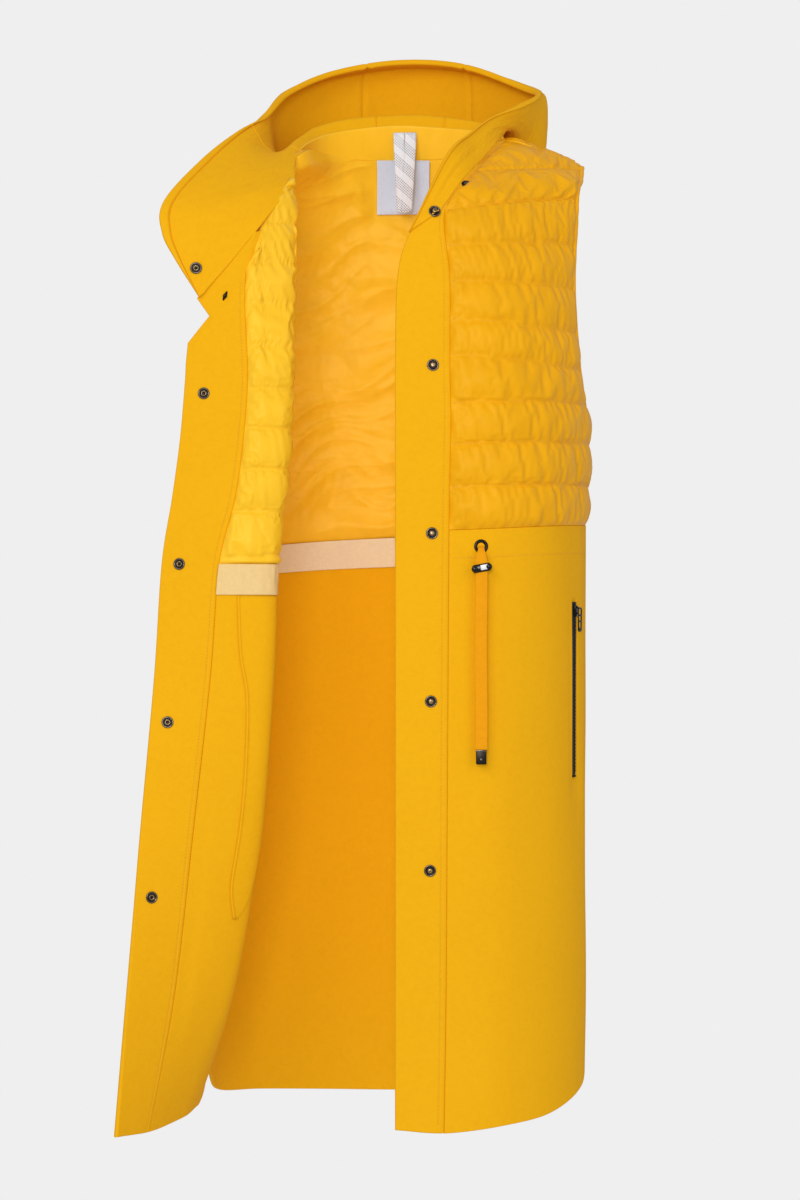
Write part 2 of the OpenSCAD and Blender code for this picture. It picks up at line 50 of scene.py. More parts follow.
# ---------------------------------------------------------------- camera
CAMERA_AT = (0.0, -3.035, -0.482)
LENS_MM = 87.0
SENSOR_MM = 36.0
camera_data = bpy.data.cameras.new("camera")
camera_data.lens = LENS_MM
camera_data.sensor_fit = "VERTICAL"
camera_data.sensor_height = SENSOR_MM
camera = bpy.data.objects.new("camera", camera_data)
camera.location = CAMERA_AT
camera.rotation_euler = (math.radians(90), 0, 0)
bpy.context.scene.collection.objects.link(camera)
bpy.context.scene.camera = camera


# ---------------------------------------------------------------- control nets, the same as the CAD's, in mm
def level(z, points):
    return [[x, y, z] for x, y in points]


FRONT_LEFT = [
    [[-5, -136, -1012], [44, -137, -1015], [100, -128, -1010],
     [150, -92, -1003], [183, -42, -985], [191, -3, -962]],
    level(-880, [[-5, -136], [46, -136], [102, -126], [152, -90], [185, -42], [192, -3]]),
    level(-720, [[-5, -136], [47, -136], [102, -126], [152, -90], [185, -42], [192, -3]]),
    level(-560, [[-5, -136], [48, -135], [102, -127], [152, -92], [184, -43], [193, -3]]),
    [[-5, -135, -412], [49, -134, -412], [100, -128, -410],
     [150, -96, -407], [182, -45, -405], [193, -3, -404]],
    level(-350, [[-5, -134], [50, -133], [100, -127], [150, -96], [184, -45], [194, -3]]),
    level(-300, [[-5, -133], [51, -132], [100, -126], [150, -95], [184, -46], [194, -8]]),
    level(-240, [[-5, -131], [50, -130], [98, -124], [145, -95], [172, -62], [184, -36]]),
    [[-2, -128, -152], [50, -126, -160], [95, -118, -160],
     [138, -92, -160], [165, -64, -160], [178, -46, -160]],
    [[14, -122, -104], [45, -117, -92], [90, -107, -90], [135, -82, -90], [165, -58, -90], [181, -42, -90]],
    [[38, -104, -62], [68, -92, -58], [98, -84, -58], [134, -68, -58], [162, -52, -58], [183, -34, -58]],
    [[66, -80, -30], [95, -44, -22], [115, -42, -27], [140, -38, -34], [165, -31, -41], [187, -19, -48]],
    [[84, -40, -4], [111, 4, 0], [131, 4, -7], [151, 4, -14], [170, 4, -21], [190, 4, -30]],
]
FRONT_RIGHT = [
    [[-282, -165, -1014], [-253, -124, -1016], [-236, -98, -1014], [-222, -72, -1010],
     [-214, -46, -1004], [-210, -34, -1002], [-206, -20, -995], [-203, -3, -985]],
    level(-880, [
        [-272, -156], [-227, -124], [-206, -112], [-182, -94],
        [-172, -78], [-178, -62], [-194, -34], [-202, -3],
    ]),
    level(-720, [
        [-260, -142], [-208, -128], [-184, -124], [-152, -114],
        [-143, -102], [-156, -88], [-186, -48], [-200, -3],
    ]),
    level(-560, [
        [-247, -124], [-190, -128], [-164, -128], [-136, -122],
        [-130, -110], [-149, -98], [-184, -54], [-198, -3],
    ]),
    [[-240, -116, -446], [-181, -128, -446], [-157, -129, -446], [-133, -124, -446],
     [-126, -112, -446], [-147, -98, -443], [-182, -56, -438], [-197, -3, -434]],
    level(-380, [
        [-230, -112], [-165, -126], [-145, -126], [-126, -121],
        [-119, -109], [-142, -94], [-180, -54], [-197, -3],
    ]),
    level(-320, [
        [-222, -110], [-157, -123], [-138, -123], [-121, -117],
        [-114, -105], [-138, -90], [-178, -52], [-197, -7],
    ]),
    [[-217, -110, -262], [-153, -119, -258], [-134, -117, -250], [-117, -112, -243],
     [-111, -100, -238], [-132, -86, -238], [-162, -66, -238], [-184, -36, -238]],
    [[-216, -110, -243], [-156, -115, -184], [-138, -108, -150], [-120, -96, -120],
     [-110, -82, -108], [-130, -74, -138], [-158, -60, -150], [-180, -42, -158]],
    [[-214, -111, -223], [-155, -113, -147], [-141, -102, -104], [-122, -80, -67],
     [-112, -60, -50], [-130, -60, -90], [-158, -50, -90], [-182, -34, -90]],
]
YOKE_RIGHT = [
    [[-124, -48, -84], [-140, -50, -82], [-160, -44, -82], [-183, -31, -82]],
    [[-118, -18, -54], [-140, -22, -56], [-162, -18, -60], [-187, -14, -66]],
    [[-112, 3, -26], [-138, 3, -32], [-164, 3, -38], [-190, 3, -46]],
]
BACK = [
    [[191, 5, -965], [187, 55, -985], [150, 110, -1005], [80, 134, -1015], [0, 138, -1017],
     [-80, 136, -1016], [-152, 112, -1012], [-192, 62, -1005], [-204, 8, -985]],
    level(-880, [
        [192, 5], [187, 55], [150, 108], [80, 131], [0, 135], [-80, 132], [-150, 110], [-190, 58], [-202, 5],
    ]),
    level(-720, [
        [192, 5], [187, 54], [150, 106], [80, 128], [0, 131], [-80, 129], [-150, 107], [-188, 56], [-200, 5],
    ]),
    level(-560, [
        [193, 5], [187, 53], [150, 104], [80, 126], [0, 128], [-80, 126], [-150, 105], [-188, 54], [-198, 5],
    ]),
    [[193, 5, -404], [187, 52, -405], [150, 102, -408], [80, 123, -411], [0, 125, -414],
     [-80, 124, -418], [-150, 103, -424], [-188, 52, -428], [-197, 5, -432]],
    level(-352, [
        [194, 5], [188, 50], [150, 102], [80, 123], [0, 125], [-80, 123], [-150, 102], [-188, 50], [-197, 5],
    ]),
    level(-302, [
        [194, 9], [188, 48], [151, 100], [80, 122], [0, 124], [-80, 122], [-151, 100], [-189, 48], [-196, 9],
    ]),
    level(-240, [
        [185, 36], [178, 62], [148, 98], [80, 121], [0, 123], [-80, 121], [-148, 98], [-178, 62], [-184, 36],
    ]),
    level(-160, [
        [179, 46], [170, 68], [142, 98], [78, 120], [0, 122], [-78, 120], [-142, 98], [-170, 68], [-180, 44],
    ]),
    [[182, 42, -90], [166, 66, -90], [134, 94, -90], [72, 115, -90], [0, 118, -90],
     [-72, 114, -92], [-134, 92, -96], [-166, 64, -100], [-182, 38, -102]],
    [[187, 24, -50], [156, 40, -42], [122, 58, -36], [70, 100, -36], [0, 112, -36],
     [-70, 99, -38], [-122, 56, -46], [-156, 38, -54], [-187, 22, -64]],
    [[190, 6, -30], [151, 6, -14], [112, 10, -3], [70, 85, -6], [0, 104, -4],
     [-70, 83, -8], [-110, 8, -26], [-151, 6, -35], [-190, 6, -46]],
]
NECKBAND = [
    [[111, 12, 0], [98, 54, 0], [70, 84, -1], [36, 98, 0], [0, 103, 0],
     [-36, 97, -1], [-70, 81, -3], [-98, 48, -10], [-110, 10, -20]],
    [[107, 14, 6], [98, 50, 12], [74, 79, 17], [38, 92, 21], [0, 96, 23],
     [-38, 91, 20], [-74, 75, 13], [-97, 42, 1], [-108, 4, -14]],
]
# Hood columns: seam point, rim point, depth of the pouch
HOOD = [
    [[42, -119, -88], [12, -126, -106], 0],
    [[66, -96, -52], [47, -99, -31], 0],
    [[86, -62, -27], [70, -62, -4], 0],
    [[101, -28, -5], [94, -24, 19], 0],
    [[108, 15, 8], [130, 12, 40], 6],
    [[102, 50, 14], [146, 52, 56], 22],
    [[82, 80, 20], [134, 100, 71], 60],
    [[46, 94, 24], [70, 158, 106], 110],
    [[0, 100, 26], [0, 176, 114], 136],
    [[-46, 92, 23], [-70, 156, 99], 110],
    [[-82, 74, 16], [-118, 112, 70], 60],
    [[-100, 40, 2], [-142, 62, 37], 24],
    [[-110, -8, -20], [-172, 8, 8], 6],
    [[-113, -48, -44], [-206, -45, -30], 0],
    [[-124, -80, -66], [-240, -98, -80], 0],
    [[-144, -104, -98], [-240, -112, -112], 0],
    [[-170, -116, -136], [-226, -117, -140], 0],
    [[-198, -119, -174], [-202, -120, -178], 0],
]
PROFILE = [
    [0, 0, 0], [0.21, 0.14, 0], [0.49, 0, 0.63], [0.9, 0, 1],
    [1.29, 0, 0.63], [1.38, 0.05, 0], [1.32, 0.86, 0], [1, 1, 0],
]
FULL_BAG = 60


def hood_net():
    rows = []
    for k, (side, up, drop) in enumerate(PROFILE):
        row = []
        for seam, rim, depth in HOOD:
            whole = min(1, depth / FULL_BAG)
            even = k / (len(PROFILE) - 1)
            s = even + (side - even) * whole
            h = even + (up - even) * whole
            row.append([
                seam[0] + (rim[0] - seam[0]) * s,
                seam[1] + (rim[1] - seam[1]) * s,
                seam[2] + (rim[2] - seam[2]) * h - depth * drop,
            ])
        rows.append(row)
    return rows


HOOD_NET = hood_net()


# ---------------------------------------------------------------- smooth surfaces over the nets
def weights(t, n):
    """Catmull-Rom weights of n control points at each t, with the ends drawn on in a straight line."""
    t = np.asarray(t, float)
    i = np.clip(np.floor(t).astype(int), 0, n - 2)
    f = t - i
    basis = 0.5 * np.stack([
        -f + 2 * f**2 - f**3,
        2 - 5 * f**2 + 3 * f**3,
        f + 4 * f**2 - 3 * f**3,
        -f**2 + f**3,
    ], axis=1)
    w = np.zeros((len(t), n))
    rows = np.arange(len(t))
    for k in range(4):
        j = i + k - 1
        low, high = j < 0, j > n - 1
        mid = ~low & ~high
        np.add.at(w, (rows[mid], j[mid]), basis[mid, k])
        np.add.at(w, (rows[low], np.zeros(low.sum(), int)), 2 * basis[low, k])
        np.add.at(w, (rows[low], np.ones(low.sum(), int)), -basis[low, k])
        np.add.at(w, (rows[high], np.full(high.sum(), n - 1)), 2 * basis[high, k])
        np.add.at(w, (rows[high], np.full(high.sum(), n - 2)), -basis[high, k])
    return w


def surf(net, u, v):
    """Points of the net's surface at matching arrays of u and v, in mm."""
    c = np.array(net, float)
    u, v = np.broadcast_arrays(np.asarray(u, float), np.asarray(v, float))
    shape = u.shape
    wu = weights(u.ravel(), c.shape[1])
    wv = weights(v.ravel(), c.shape[0])
    return np.einsum("ki,kj,ijc->kc", wv, wu, c, optimize=True).reshape(*shape, 3)


def normal(net, u, v):
    e = 0.02
    n = np.cross(surf(net, u + e, v) - surf(net, u - e, v), surf(net, u, v + e) - surf(net, u, v - e))
    return n / np.maximum(np.linalg.norm(n, axis=-1, keepdims=True), 1e-9)


def arc(points, axis):
    """Distance run along one axis of a grid of points."""
    d = np.linalg.norm(np.diff(points, axis=axis), axis=-1)
    zero = np.zeros_like(np.take(d, [0], axis=axis))
    return np.cumsum(np.concatenate([zero, d], axis=axis), axis=axis)


def spread(a, b, step, per, edge=1.2):
    """Parameters from a to b about step mm apart, closer together at both ends; per is mm for each unit."""
    length = abs(b - a) * per
    n = max(3, int(round(length / step)))
    ends = np.array([0, 0.25, 0.6, 1.1, 1.9]) * edge
    middle = np.linspace(3.2 * edge, length - 3.2 * edge, n)
    at = np.concatenate([ends, middle, length - ends[::-1]])
    return a + (b - a) * at / length


def finer(values, places, per):
    """Adds parameters close on both sides of a few places, so that a narrow seam has points of its own."""
    near = np.array([0, 0.45, 0.9, 1.4, 2.0, 3.0]) / per
    low, high = values.min(), values.max()
    extra = np.concatenate([np.concatenate([at - near, at + near]) for at in places])
    extra = extra[(extra > low) & (extra < high)]
    both = np.unique(np.concatenate([values, extra]))
    keep = np.concatenate([[True], np.diff(both) > 0.3 / per])
    keep[-1] = True
    return both[keep]


# ---------------------------------------------------------------- noise made of waves, the same each run
def waves(x, y, seed, low, high, count=14, stretch=(1.0, 1.0)):
    """Smooth noise from -1 to 1 with wavelengths from low to high mm."""
    r = np.random.default_rng(seed)
    out = np.zeros_like(np.asarray(x, float))
    for _ in range(count):
        length = low * (high / low) ** r.random()
        angle = r.random() * math.tau
        out += np.sin(
            math.tau * (x * stretch[0] * math.cos(angle) + y * stretch[1] * math.sin(angle)) / length
            + r.random() * math.tau
        )
    return out / math.sqrt(count / 2) / 2.2


# ---------------------------------------------------------------- meshes
def mesh_piece(name, points, faces, material, uv=None, smooth=True):
    """A new object from points in mm."""
    mesh = bpy.data.meshes.new(name)
    mesh.from_pydata((np.asarray(points) * MM).tolist(), [], faces)
    if uv is not None:
        layer = mesh.uv_layers.new(name="cloth")
        index = np.zeros(len(mesh.loops), int)
        mesh.loops.foreach_get("vertex_index", index)
        layer.data.foreach_set("uv", np.asarray(uv)[index].ravel())
    mesh.polygons.foreach_set("use_smooth", [smooth] * len(mesh.polygons))
    mesh.materials.append(material)
    mesh.update()
    o = bpy.data.objects.new(name, mesh)
    bpy.context.scene.collection.objects.link(o)
    return o


def grid_faces(nu, nv, start=0, turned=False):
    j, i = np.meshgrid(np.arange(nv - 1), np.arange(nu - 1), indexing="ij")
    a = start + j * nu + i
    quad = np.stack([a, a + 1, a + nu + 1, a + nu], axis=-1).reshape(-1, 4)
    return quad[:, ::-1] if turned else quad


def sheet_faces(nu, nv):
    """Faces of two grids of points that lie one on the other, and of the rim between them."""
    layer = nu * nv
    edge = np.concatenate([
        np.arange(nu - 1), np.arange(nv - 1) * nu + nu - 1,
        (nv - 1) * nu + np.arange(nu - 1, 0, -1), np.arange(nv - 1, 0, -1) * nu,
    ])
    after = np.roll(edge, -1)
    rim = np.stack([edge, after, layer + after, layer + edge], axis=1)
    return np.concatenate([grid_faces(nu, nv, 0, True), grid_faces(nu, nv, layer), rim]).tolist()


def closed_sheet(name, inner, outer, material, uv):
    """A closed sheet from two grids of points, the outer one on the side that the grid's normal points to."""
    nv, nu = inner.shape[:2]
    points = np.concatenate([inner.reshape(-1, 3), outer.reshape(-1, 3)])
    both = np.concatenate([uv.reshape(-1, 2), uv.reshape(-1, 2)])
    return mesh_piece(name, points, sheet_faces(nu, nv), material, both)


def edge_distance(points):
    """For each grid point, mm to the nearest of the grid's four edges."""
    along = arc(points, 1)
    up = arc(points, 0)
    return np.minimum(
        np.minimum(along, along[:, -1:] - along), np.minimum(up, up[-1:, :] - up)
    )


def rounded(distance, radius):
    """Share of the full half thickness at a distance from an edge, for a round edge."""
    e = np.clip(distance / radius, 0, 1)
    return np.sqrt(np.maximum(0, 1 - (1 - e) ** 2)) * 0.94 + 0.06


class Panel:
    """A grid over part of a net, ready to be made into sheets at different heights."""

    def __init__(self, net, us, vs, side=1, shift=None):
        self.net = net
        self.side = side
        u, v = np.meshgrid(us, vs)
        self.lay(*(shift(u, v) if shift else (u, v)))

    def lay(self, u, v):
        """Lays the grid over the net at these places."""
        self.u, self.v = np.broadcast_arrays(u, v)
        self.p = surf(self.net, self.u, self.v)
        self.n = normal(self.net, self.u, self.v) * self.side
        self.along = arc(self.p, 1)
        self.up = arc(self.p, 0)
        self.edge = edge_distance(self.p)
        self.uv = np.stack([self.along, self.up], axis=-1) * MM

    def sheet(self, name, material, low, high, round_at=None, move=0.0):
        """low and high are heights in mm along the outward normal; move is added to both."""
        middle = (low + high) / 2
        if round_at:
            share = rounded(self.edge, round_at)
            low = middle + (low - middle) * share
            high = middle + (high - middle) * share
        shape = self.u.shape
        low = np.broadcast_to(np.asarray(low + move, float), shape)[..., None]
        high = np.broadcast_to(np.asarray(high + move, float), shape)[..., None]
        inner, outer = self.p + self.n * low, self.p + self.n * high
        if self.side < 0:
            inner, outer = outer, inner
        return closed_sheet(name, inner, outer, material, self.uv)


HALF_WOOL = 1.5                  # mm, half the thickness of the wool
FILL = 0.9                       # half the thickness of the wadding between the cloths


def swings(piece):
    """Bakes a piece's transform into its mesh."""
    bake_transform(piece)


class Bits:
    """Gathers many small shapes into one piece, each with its own material number."""

    def __init__(self):
        self.points = []
        self.faces = []
        self.looks = []

    def add(self, points, faces, look=0):
        start = len(self.points)
        self.points.extend(np.asarray(points, float).tolist())
        self.faces.extend([[start + i for i in face] for face in faces])
        self.looks.extend(look if isinstance(look, list) else [look] * len(faces))

    def done(self, name, *materials, smooth=True):
        o = mesh_piece(name, self.points, self.faces, materials[0], smooth=smooth)
        for material in materials[1:]:
            o.data.materials.append(material)
        o.data.polygons.foreach_set("material_index", self.looks)
        return o


def unit(v):
    return v / np.maximum(np.linalg.norm(v, axis=-1, keepdims=True), 1e-9)


def on(net, u, v, height=0.0):
    """Points at a height in mm along a net's normal."""
    u, v, height = np.broadcast_arrays(np.asarray(u, float), np.asarray(v, float), np.asarray(height, float))
    return surf(net, u, v) + height[..., None] * normal(net, u, v)


def seat(net, u, v, height, side=1):
    """Axes and place of a fitting on a net: its local Z is the outward normal and its Y is near upright."""
    n = side * normal(net, u, v)
    x = unit(np.cross([0.0, 0.0, 1.0], n))
    return np.column_stack([x, np.cross(n, x), n]), surf(net, u, v) + height * n


def placed(points, axes, at):
    return np.asarray(points, float) @ axes.T + at


def ring_faces(rings, sides, closed=False):
    """Faces between rings of points in a row, with a cap at each end unless the last meets the first."""
    faces = []
    for i in range(rings if closed else rings - 1):
        j = (i + 1) % rings
        for k in range(sides):
            m = (k + 1) % sides
            faces.append([i * sides + k, i * sides + m, j * sides + m, j * sides + k])
    if not closed:
        faces.append(list(range(sides))[::-1])
        faces.append([(rings - 1) * sides + k for k in range(sides)])
    return faces


def tube(path, radius, sides=8, flat=1.0, up=None, closed=False):
    """Points and faces of a tube along a path in mm; flat squeezes it along the up direction."""
    path = np.asarray(path, float)
    along = unit(np.roll(path, -1, 0) - np.roll(path, 1, 0)) if closed else unit(np.gradient(path, axis=0))
    guide = np.broadcast_to(np.asarray((0.3, -0.9, 0.2) if up is None else up, float), path.shape)
    across = unit(np.cross(along, guide))
    lift = np.cross(across, along)
    angle = np.arange(sides) * math.tau / sides
    radius = np.broadcast_to(np.asarray(radius, float), len(path))[:, None, None]
    ring = across[:, None] * np.cos(angle)[:, None] + lift[:, None] * (np.sin(angle) * flat)[:, None]
    points = (path[:, None] + ring * radius).reshape(-1, 3)
    return points, ring_faces(len(path), sides, closed)


def lathe(profile, sides=40):
    """Points, faces and looks of a turned shape; a profile row is radius, height and the look above it."""
    points, looks = [], []
    angle = np.arange(sides) * math.tau / sides
    for r, z, look in profile:
        points += [[r * math.cos(a), r * math.sin(a), z] for a in angle]
        looks += [look] * sides
    looks = looks[:-sides] + [profile[0][2], profile[-1][2]]
    return points, ring_faces(len(profile), sides), looks


def soft_box(size, bevel, segments):
    """Points and faces of a box with rounded edges, centred on zero, in mm."""
    b = bmesh.new()
    bmesh.ops.create_cube(b, size=1.0)
    for v in b.verts:
        v.co = Vector([c * s for c, s in zip(v.co, size)])
    bmesh.ops.bevel(b, geom=b.edges[:], offset=bevel, segments=segments, profile=0.5, affect="EDGES")
    b.verts.index_update()
    points = [list(v.co) for v in b.verts]
    faces = [[v.index for v in f.verts] for f in b.faces]
    b.free()
    return points, faces


def add_box(bits, size, bevel, offset, axes, at, look=0, segments=3):
    """A rounded box, moved by offset before it is turned and placed."""
    points, faces = soft_box(size, bevel, segments)
    bits.add(placed(np.array(points) + offset, axes, at), faces, look)


def stitch_row(bits, points, normals, pitch=3.2, share=0.62, radius=0.32, sink=0.05):
    """Short thread stitches along a line of points, each a little bowed and sunk at its ends."""
    d = np.concatenate([[0], np.cumsum(np.linalg.norm(np.diff(points, axis=0), axis=1))])
    for start in np.arange(pitch / 2, d[-1] - pitch, pitch):
        at = start + np.array([0, 0.2, 0.5, 0.8, 1.0]) * pitch * share
        path = np.stack([np.interp(at, d, points[:, k]) for k in range(3)], axis=1)
        up = unit(np.stack([np.interp(at, d, normals[:, k]) for k in range(3)], axis=1))
        bow = np.array([-0.45, 0.12, 0.2, 0.12, -0.45]) - sink
        thick = [radius * 0.7, radius, radius, radius, radius * 0.7]
        bits.add(*tube(path + up * bow[:, None], thick, 5, up=up))


# ---------------------------------------------------------------- materials
def socket(node, name, value):
    node.inputs[name].default_value = value


def new_material(name, colour, rough, sheen=0.0, metallic=0.0):
    m = bpy.data.materials.new(name)
    m.use_nodes = True
    b = m.node_tree.nodes["Principled BSDF"]
    socket(b, "Base Color", (*colour, 1))
    socket(b, "Roughness", rough)
    socket(b, "Metallic", metallic)
    socket(b, "Sheen Weight", sheen)
    socket(b, "Sheen Roughness", 0.45)
    socket(b, "Sheen Tint", (*[min(1, c * 0.9 + 0.08) for c in colour], 1))
    return m


def nodes_of(m):
    return m.node_tree.nodes, m.node_tree.links, m.node_tree.nodes["Principled BSDF"]


def noise(m, scale, detail=3.0, stretch=(1, 1, 1), roughness=0.6):
    nodes, links, _ = nodes_of(m)
    coords = nodes.new("ShaderNodeTexCoord")
    mapping = nodes.new("ShaderNodeMapping")
    texture = nodes.new("ShaderNodeTexNoise")
    socket(mapping, "Scale", stretch)
    socket(texture, "Scale", scale)
    socket(texture, "Detail", detail)
    socket(texture, "Roughness", roughness)
    links.new(coords.outputs["Object"], mapping.inputs["Vector"])
    links.new(mapping.outputs["Vector"], texture.inputs["Vector"])
    return texture.outputs["Fac"]


def wave(m, scale, direction, where="UV"):
    nodes, links, _ = nodes_of(m)
    coords = nodes.new("ShaderNodeTexCoord")
    texture = nodes.new("ShaderNodeTexWave")
    texture.bands_direction = direction
    socket(texture, "Scale", scale)
    links.new(coords.outputs[where], texture.inputs["Vector"])
    return texture.outputs["Fac"]


def ramp(m, value, stops):
    nodes, links, _ = nodes_of(m)
    r = nodes.new("ShaderNodeValToRGB")
    while len(r.color_ramp.elements) < len(stops):
        r.color_ramp.elements.new(0.5)
    for e, (at, colour) in zip(r.color_ramp.elements, stops):
        e.position = at
        e.color = (*colour, 1)
    links.new(value, r.inputs["Fac"])
    return r.outputs["Color"]


def maths(m, operation, a, b):
    nodes, links, _ = nodes_of(m)
    n = nodes.new("ShaderNodeMath")
    n.operation = operation
    for i, value in enumerate((a, b)):
        if isinstance(value, (int, float)):
            n.inputs[i].default_value = value
        else:
            links.new(value, n.inputs[i])
    return n.outputs[0]


def bump(m, height, strength, distance):
    nodes, links, b = nodes_of(m)
    n = nodes.new("ShaderNodeBump")
    socket(n, "Strength", strength)
    socket(n, "Distance", distance)
    links.new(height, n.inputs["Height"])
    links.new(n.outputs["Normal"], b.inputs["Normal"])


def colour_from(m, colour):
    _, links, b = nodes_of(m)
    links.new(colour, b.inputs["Base Color"])


def shade(colour, share):
    return tuple(c * share for c in colour)


def total(m, *parts):
    """The sum of values, each with its share."""
    value = maths(m, "MULTIPLY", *parts[0])
    for part in parts[1:]:
        value = maths(m, "ADD", value, maths(m, "MULTIPLY", *part))
    return value


def lit(colour, red):
    """A dyed cloth's colour where it is brightest."""
    return (min(1, colour[0] * red), colour[1] * 1.05, colour[2] * 1.5)


WOOL = (0.84, 0.415, 0.004)
NYLON = (0.85, 0.395, 0.002)
LINING = (0.95, 0.54, 0.02)


def wool_material(name, colour):
    m = new_material(name, colour, 0.92, sheen=0.12)
    socket(nodes_of(m)[2], "Specular IOR Level", 0.12)
    fibres = noise(m, 900, 6, stretch=(1, 1, 0.8), roughness=0.75)
    felt = noise(m, 160, 4)
    cloud = noise(m, 9, 2)
    mix = maths(m, "ADD", total(m, (fibres, 0.5), (felt, 0.3), (cloud, 0.12)), 0.04)
    colour_from(m, ramp(m, mix, [(0.34, shade(colour, 0.92)), (0.5, colour), (0.66, lit(colour, 1.04))]))
    bump(m, total(m, (fibres, 0.7), (felt, 0.6)), 0.35, 0.0006)
    return m


GOLDEN = (1.0, 0.80, 0.38, 1)    # what shines back from a dyed filament cloth


def nylon_material(name, colour, rough, wrinkle):
    m = new_material(name, colour, rough)
    socket(nodes_of(m)[2], "Specular IOR Level", 0.3)
    socket(nodes_of(m)[2], "Specular Tint", GOLDEN)
    threads = maths(m, "MULTIPLY", wave(m, 420, "X"), wave(m, 420, "Y"))
    crumple = noise(m, 60, 4, stretch=(1, 1, 0.5))
    cloud = noise(m, 7, 2)
    mix = total(m, (crumple, 0.5), (cloud, 0.5))
    colour_from(m, ramp(m, mix, [(0.36, shade(colour, 0.94)), (0.52, colour), (0.66, lit(colour, 1.03))]))
    bump(m, total(m, (threads, 0.12), (crumple, wrinkle)), 0.4, 0.0012)
    return m


wool = wool_material("wool", WOOL)
shell_cloth = nylon_material("nylon_shell", NYLON, 0.42, 0.35)
lining_cloth = nylon_material("nylon_lining", LINING, 0.3, 0.35)


def plain_cloth(name, colour, rough, threads, sheen=0.1):
    m = new_material(name, colour, rough, sheen=sheen)
    weave = maths(m, "MULTIPLY", wave(m, threads, "X"), wave(m, threads, "Y"))
    fuzz = noise(m, 300, 4)
    colour_from(m, ramp(m, fuzz, [(0.35, shade(colour, 0.94)), (0.65, colour)]))
    bump(m, total(m, (weave, 0.5), (fuzz, 0.4)), 0.25, 0.0003)
    return m


def metal_material(name, colour, rough, metallic=1.0):
    m = new_material(name, colour, rough, metallic=metallic)
    scuffs = noise(m, 700, 3)
    colour_from(m, ramp(m, scuffs, [(0.3, shade(colour, 0.75)), (0.7, colour)]))
    bump(m, scuffs, 0.1, 0.0002)
    return m


wadding_cloth = plain_cloth("wadding", (0.86, 0.86, 0.84), 0.95, 200)
tape_cloth = plain_cloth("waist_tape", (0.84, 0.58, 0.24), 0.8, 330, sheen=0.0)
# The same waist tape as on the fronts, in a paler copy for the back: painted light
back_tape_painted_lighter = plain_cloth("back_waist_tape", (0.84, 0.70, 0.44), 0.8, 330, sheen=0.0)
pocket_cloth = wool_material("pocketing", WOOL)
thread = plain_cloth("thread", (0.80, 0.42, 0.02), 0.6, 900)
black_metal = metal_material("black_metal", (0.012, 0.012, 0.013), 0.16, 0.6)
# A pale, barely metallic colour: a painted highlight on the black cord lock
painted_highlight_silver = metal_material("painted_highlight_silver", (0.80, 0.81, 0.84), 0.3, 0.1)
gun_metal = metal_material("gunmetal", (0.030, 0.025, 0.022), 0.35)
# Metal of the snaps' paler parts and of the cord end's rivet; also the paler band on the cord end's top edge,
# a painted highlight
ring_metal_and_highlight = metal_material("ring_metal_and_highlight", (0.15, 0.12, 0.095), 0.25)
brass = metal_material("brass", (0.40, 0.27, 0.12), 0.3)
zip_cloth = plain_cloth("zip_tape", (0.02, 0.02, 0.02), 0.7, 330)
ribbon = plain_cloth("drawcord", (0.84, 0.335, 0.003), 0.75, 420, sheen=0.0)
socket(nodes_of(ribbon)[2], "Specular IOR Level", 0.1)
label_cloth = plain_cloth("label", (0.60, 0.68, 0.82), 0.5, 420)
label_thread = plain_cloth("label_thread", (0.62, 0.60, 0.66), 0.6, 900)


RIBBON_WHITE = (0.76, 0.79, 0.84)
RIBBON_GREY = (0.20, 0.20, 0.22)


def dotted_ribbon(name):
    """White ribbon with slanting bands of small dark dots."""
    m = new_material(name, RIBBON_WHITE, 0.5)
    nodes, links, _ = nodes_of(m)
    coords = nodes.new("ShaderNodeTexCoord")
    mapping = nodes.new("ShaderNodeMapping")
    dots = nodes.new("ShaderNodeTexVoronoi")
    socket(mapping, "Rotation", (0, math.radians(-42), 0))
    socket(mapping, "Scale", (1.0, 0.05, 1.0))
    socket(dots, "Scale", 480)
    socket(dots, "Randomness", 0.0)
    links.new(coords.outputs["Object"], mapping.inputs["Vector"])
    links.new(mapping.outputs["Vector"], dots.inputs["Vector"])
    bands = nodes.new("ShaderNodeTexWave")
    bands.bands_direction = "Z"
    socket(bands, "Scale", 19)
    links.new(mapping.outputs["Vector"], bands.inputs["Vector"])
    spot = maths(m, "LESS_THAN", dots.outputs["Distance"], 0.33)
    band = maths(m, "GREATER_THAN", bands.outputs["Fac"], 0.30)
    colour_from(m, ramp(m, maths(m, "MULTIPLY", spot, band), [(0.4, RIBBON_WHITE), (0.6, RIBBON_GREY)]))
    bump(m, wave(m, 420, "X", "Object"), 0.25, 0.0003)
    return m


loop_ribbon = dotted_ribbon("loop_ribbon")


# ---------------------------------------------------------------- quilting
CHANNEL = 40.0                   # mm, about the height of one channel


def channels(p, quilting):
    """Which channel each point is in, as a running number that is whole on the stitch lines."""
    lines, x_from, x_to = quilting
    share = np.clip((p[..., 0] - x_from) / (x_to - x_from), 0, 1)
    z = p[..., 2]
    q = np.zeros(z.shape)
    heights = [a + (b - a) * share for a, b in lines]
    for k in range(len(lines) - 1):
        low, high = heights[k], heights[k + 1]
        q = np.where((z >= low) & (z < high), k + (z - low) / (high - low), q)
    q = np.where(z < heights[0], (z - heights[0]) / CHANNEL, q)
    q = np.where(z >= heights[-1], len(lines) - 1 + (z - heights[-1]) / CHANNEL, q)
    return q


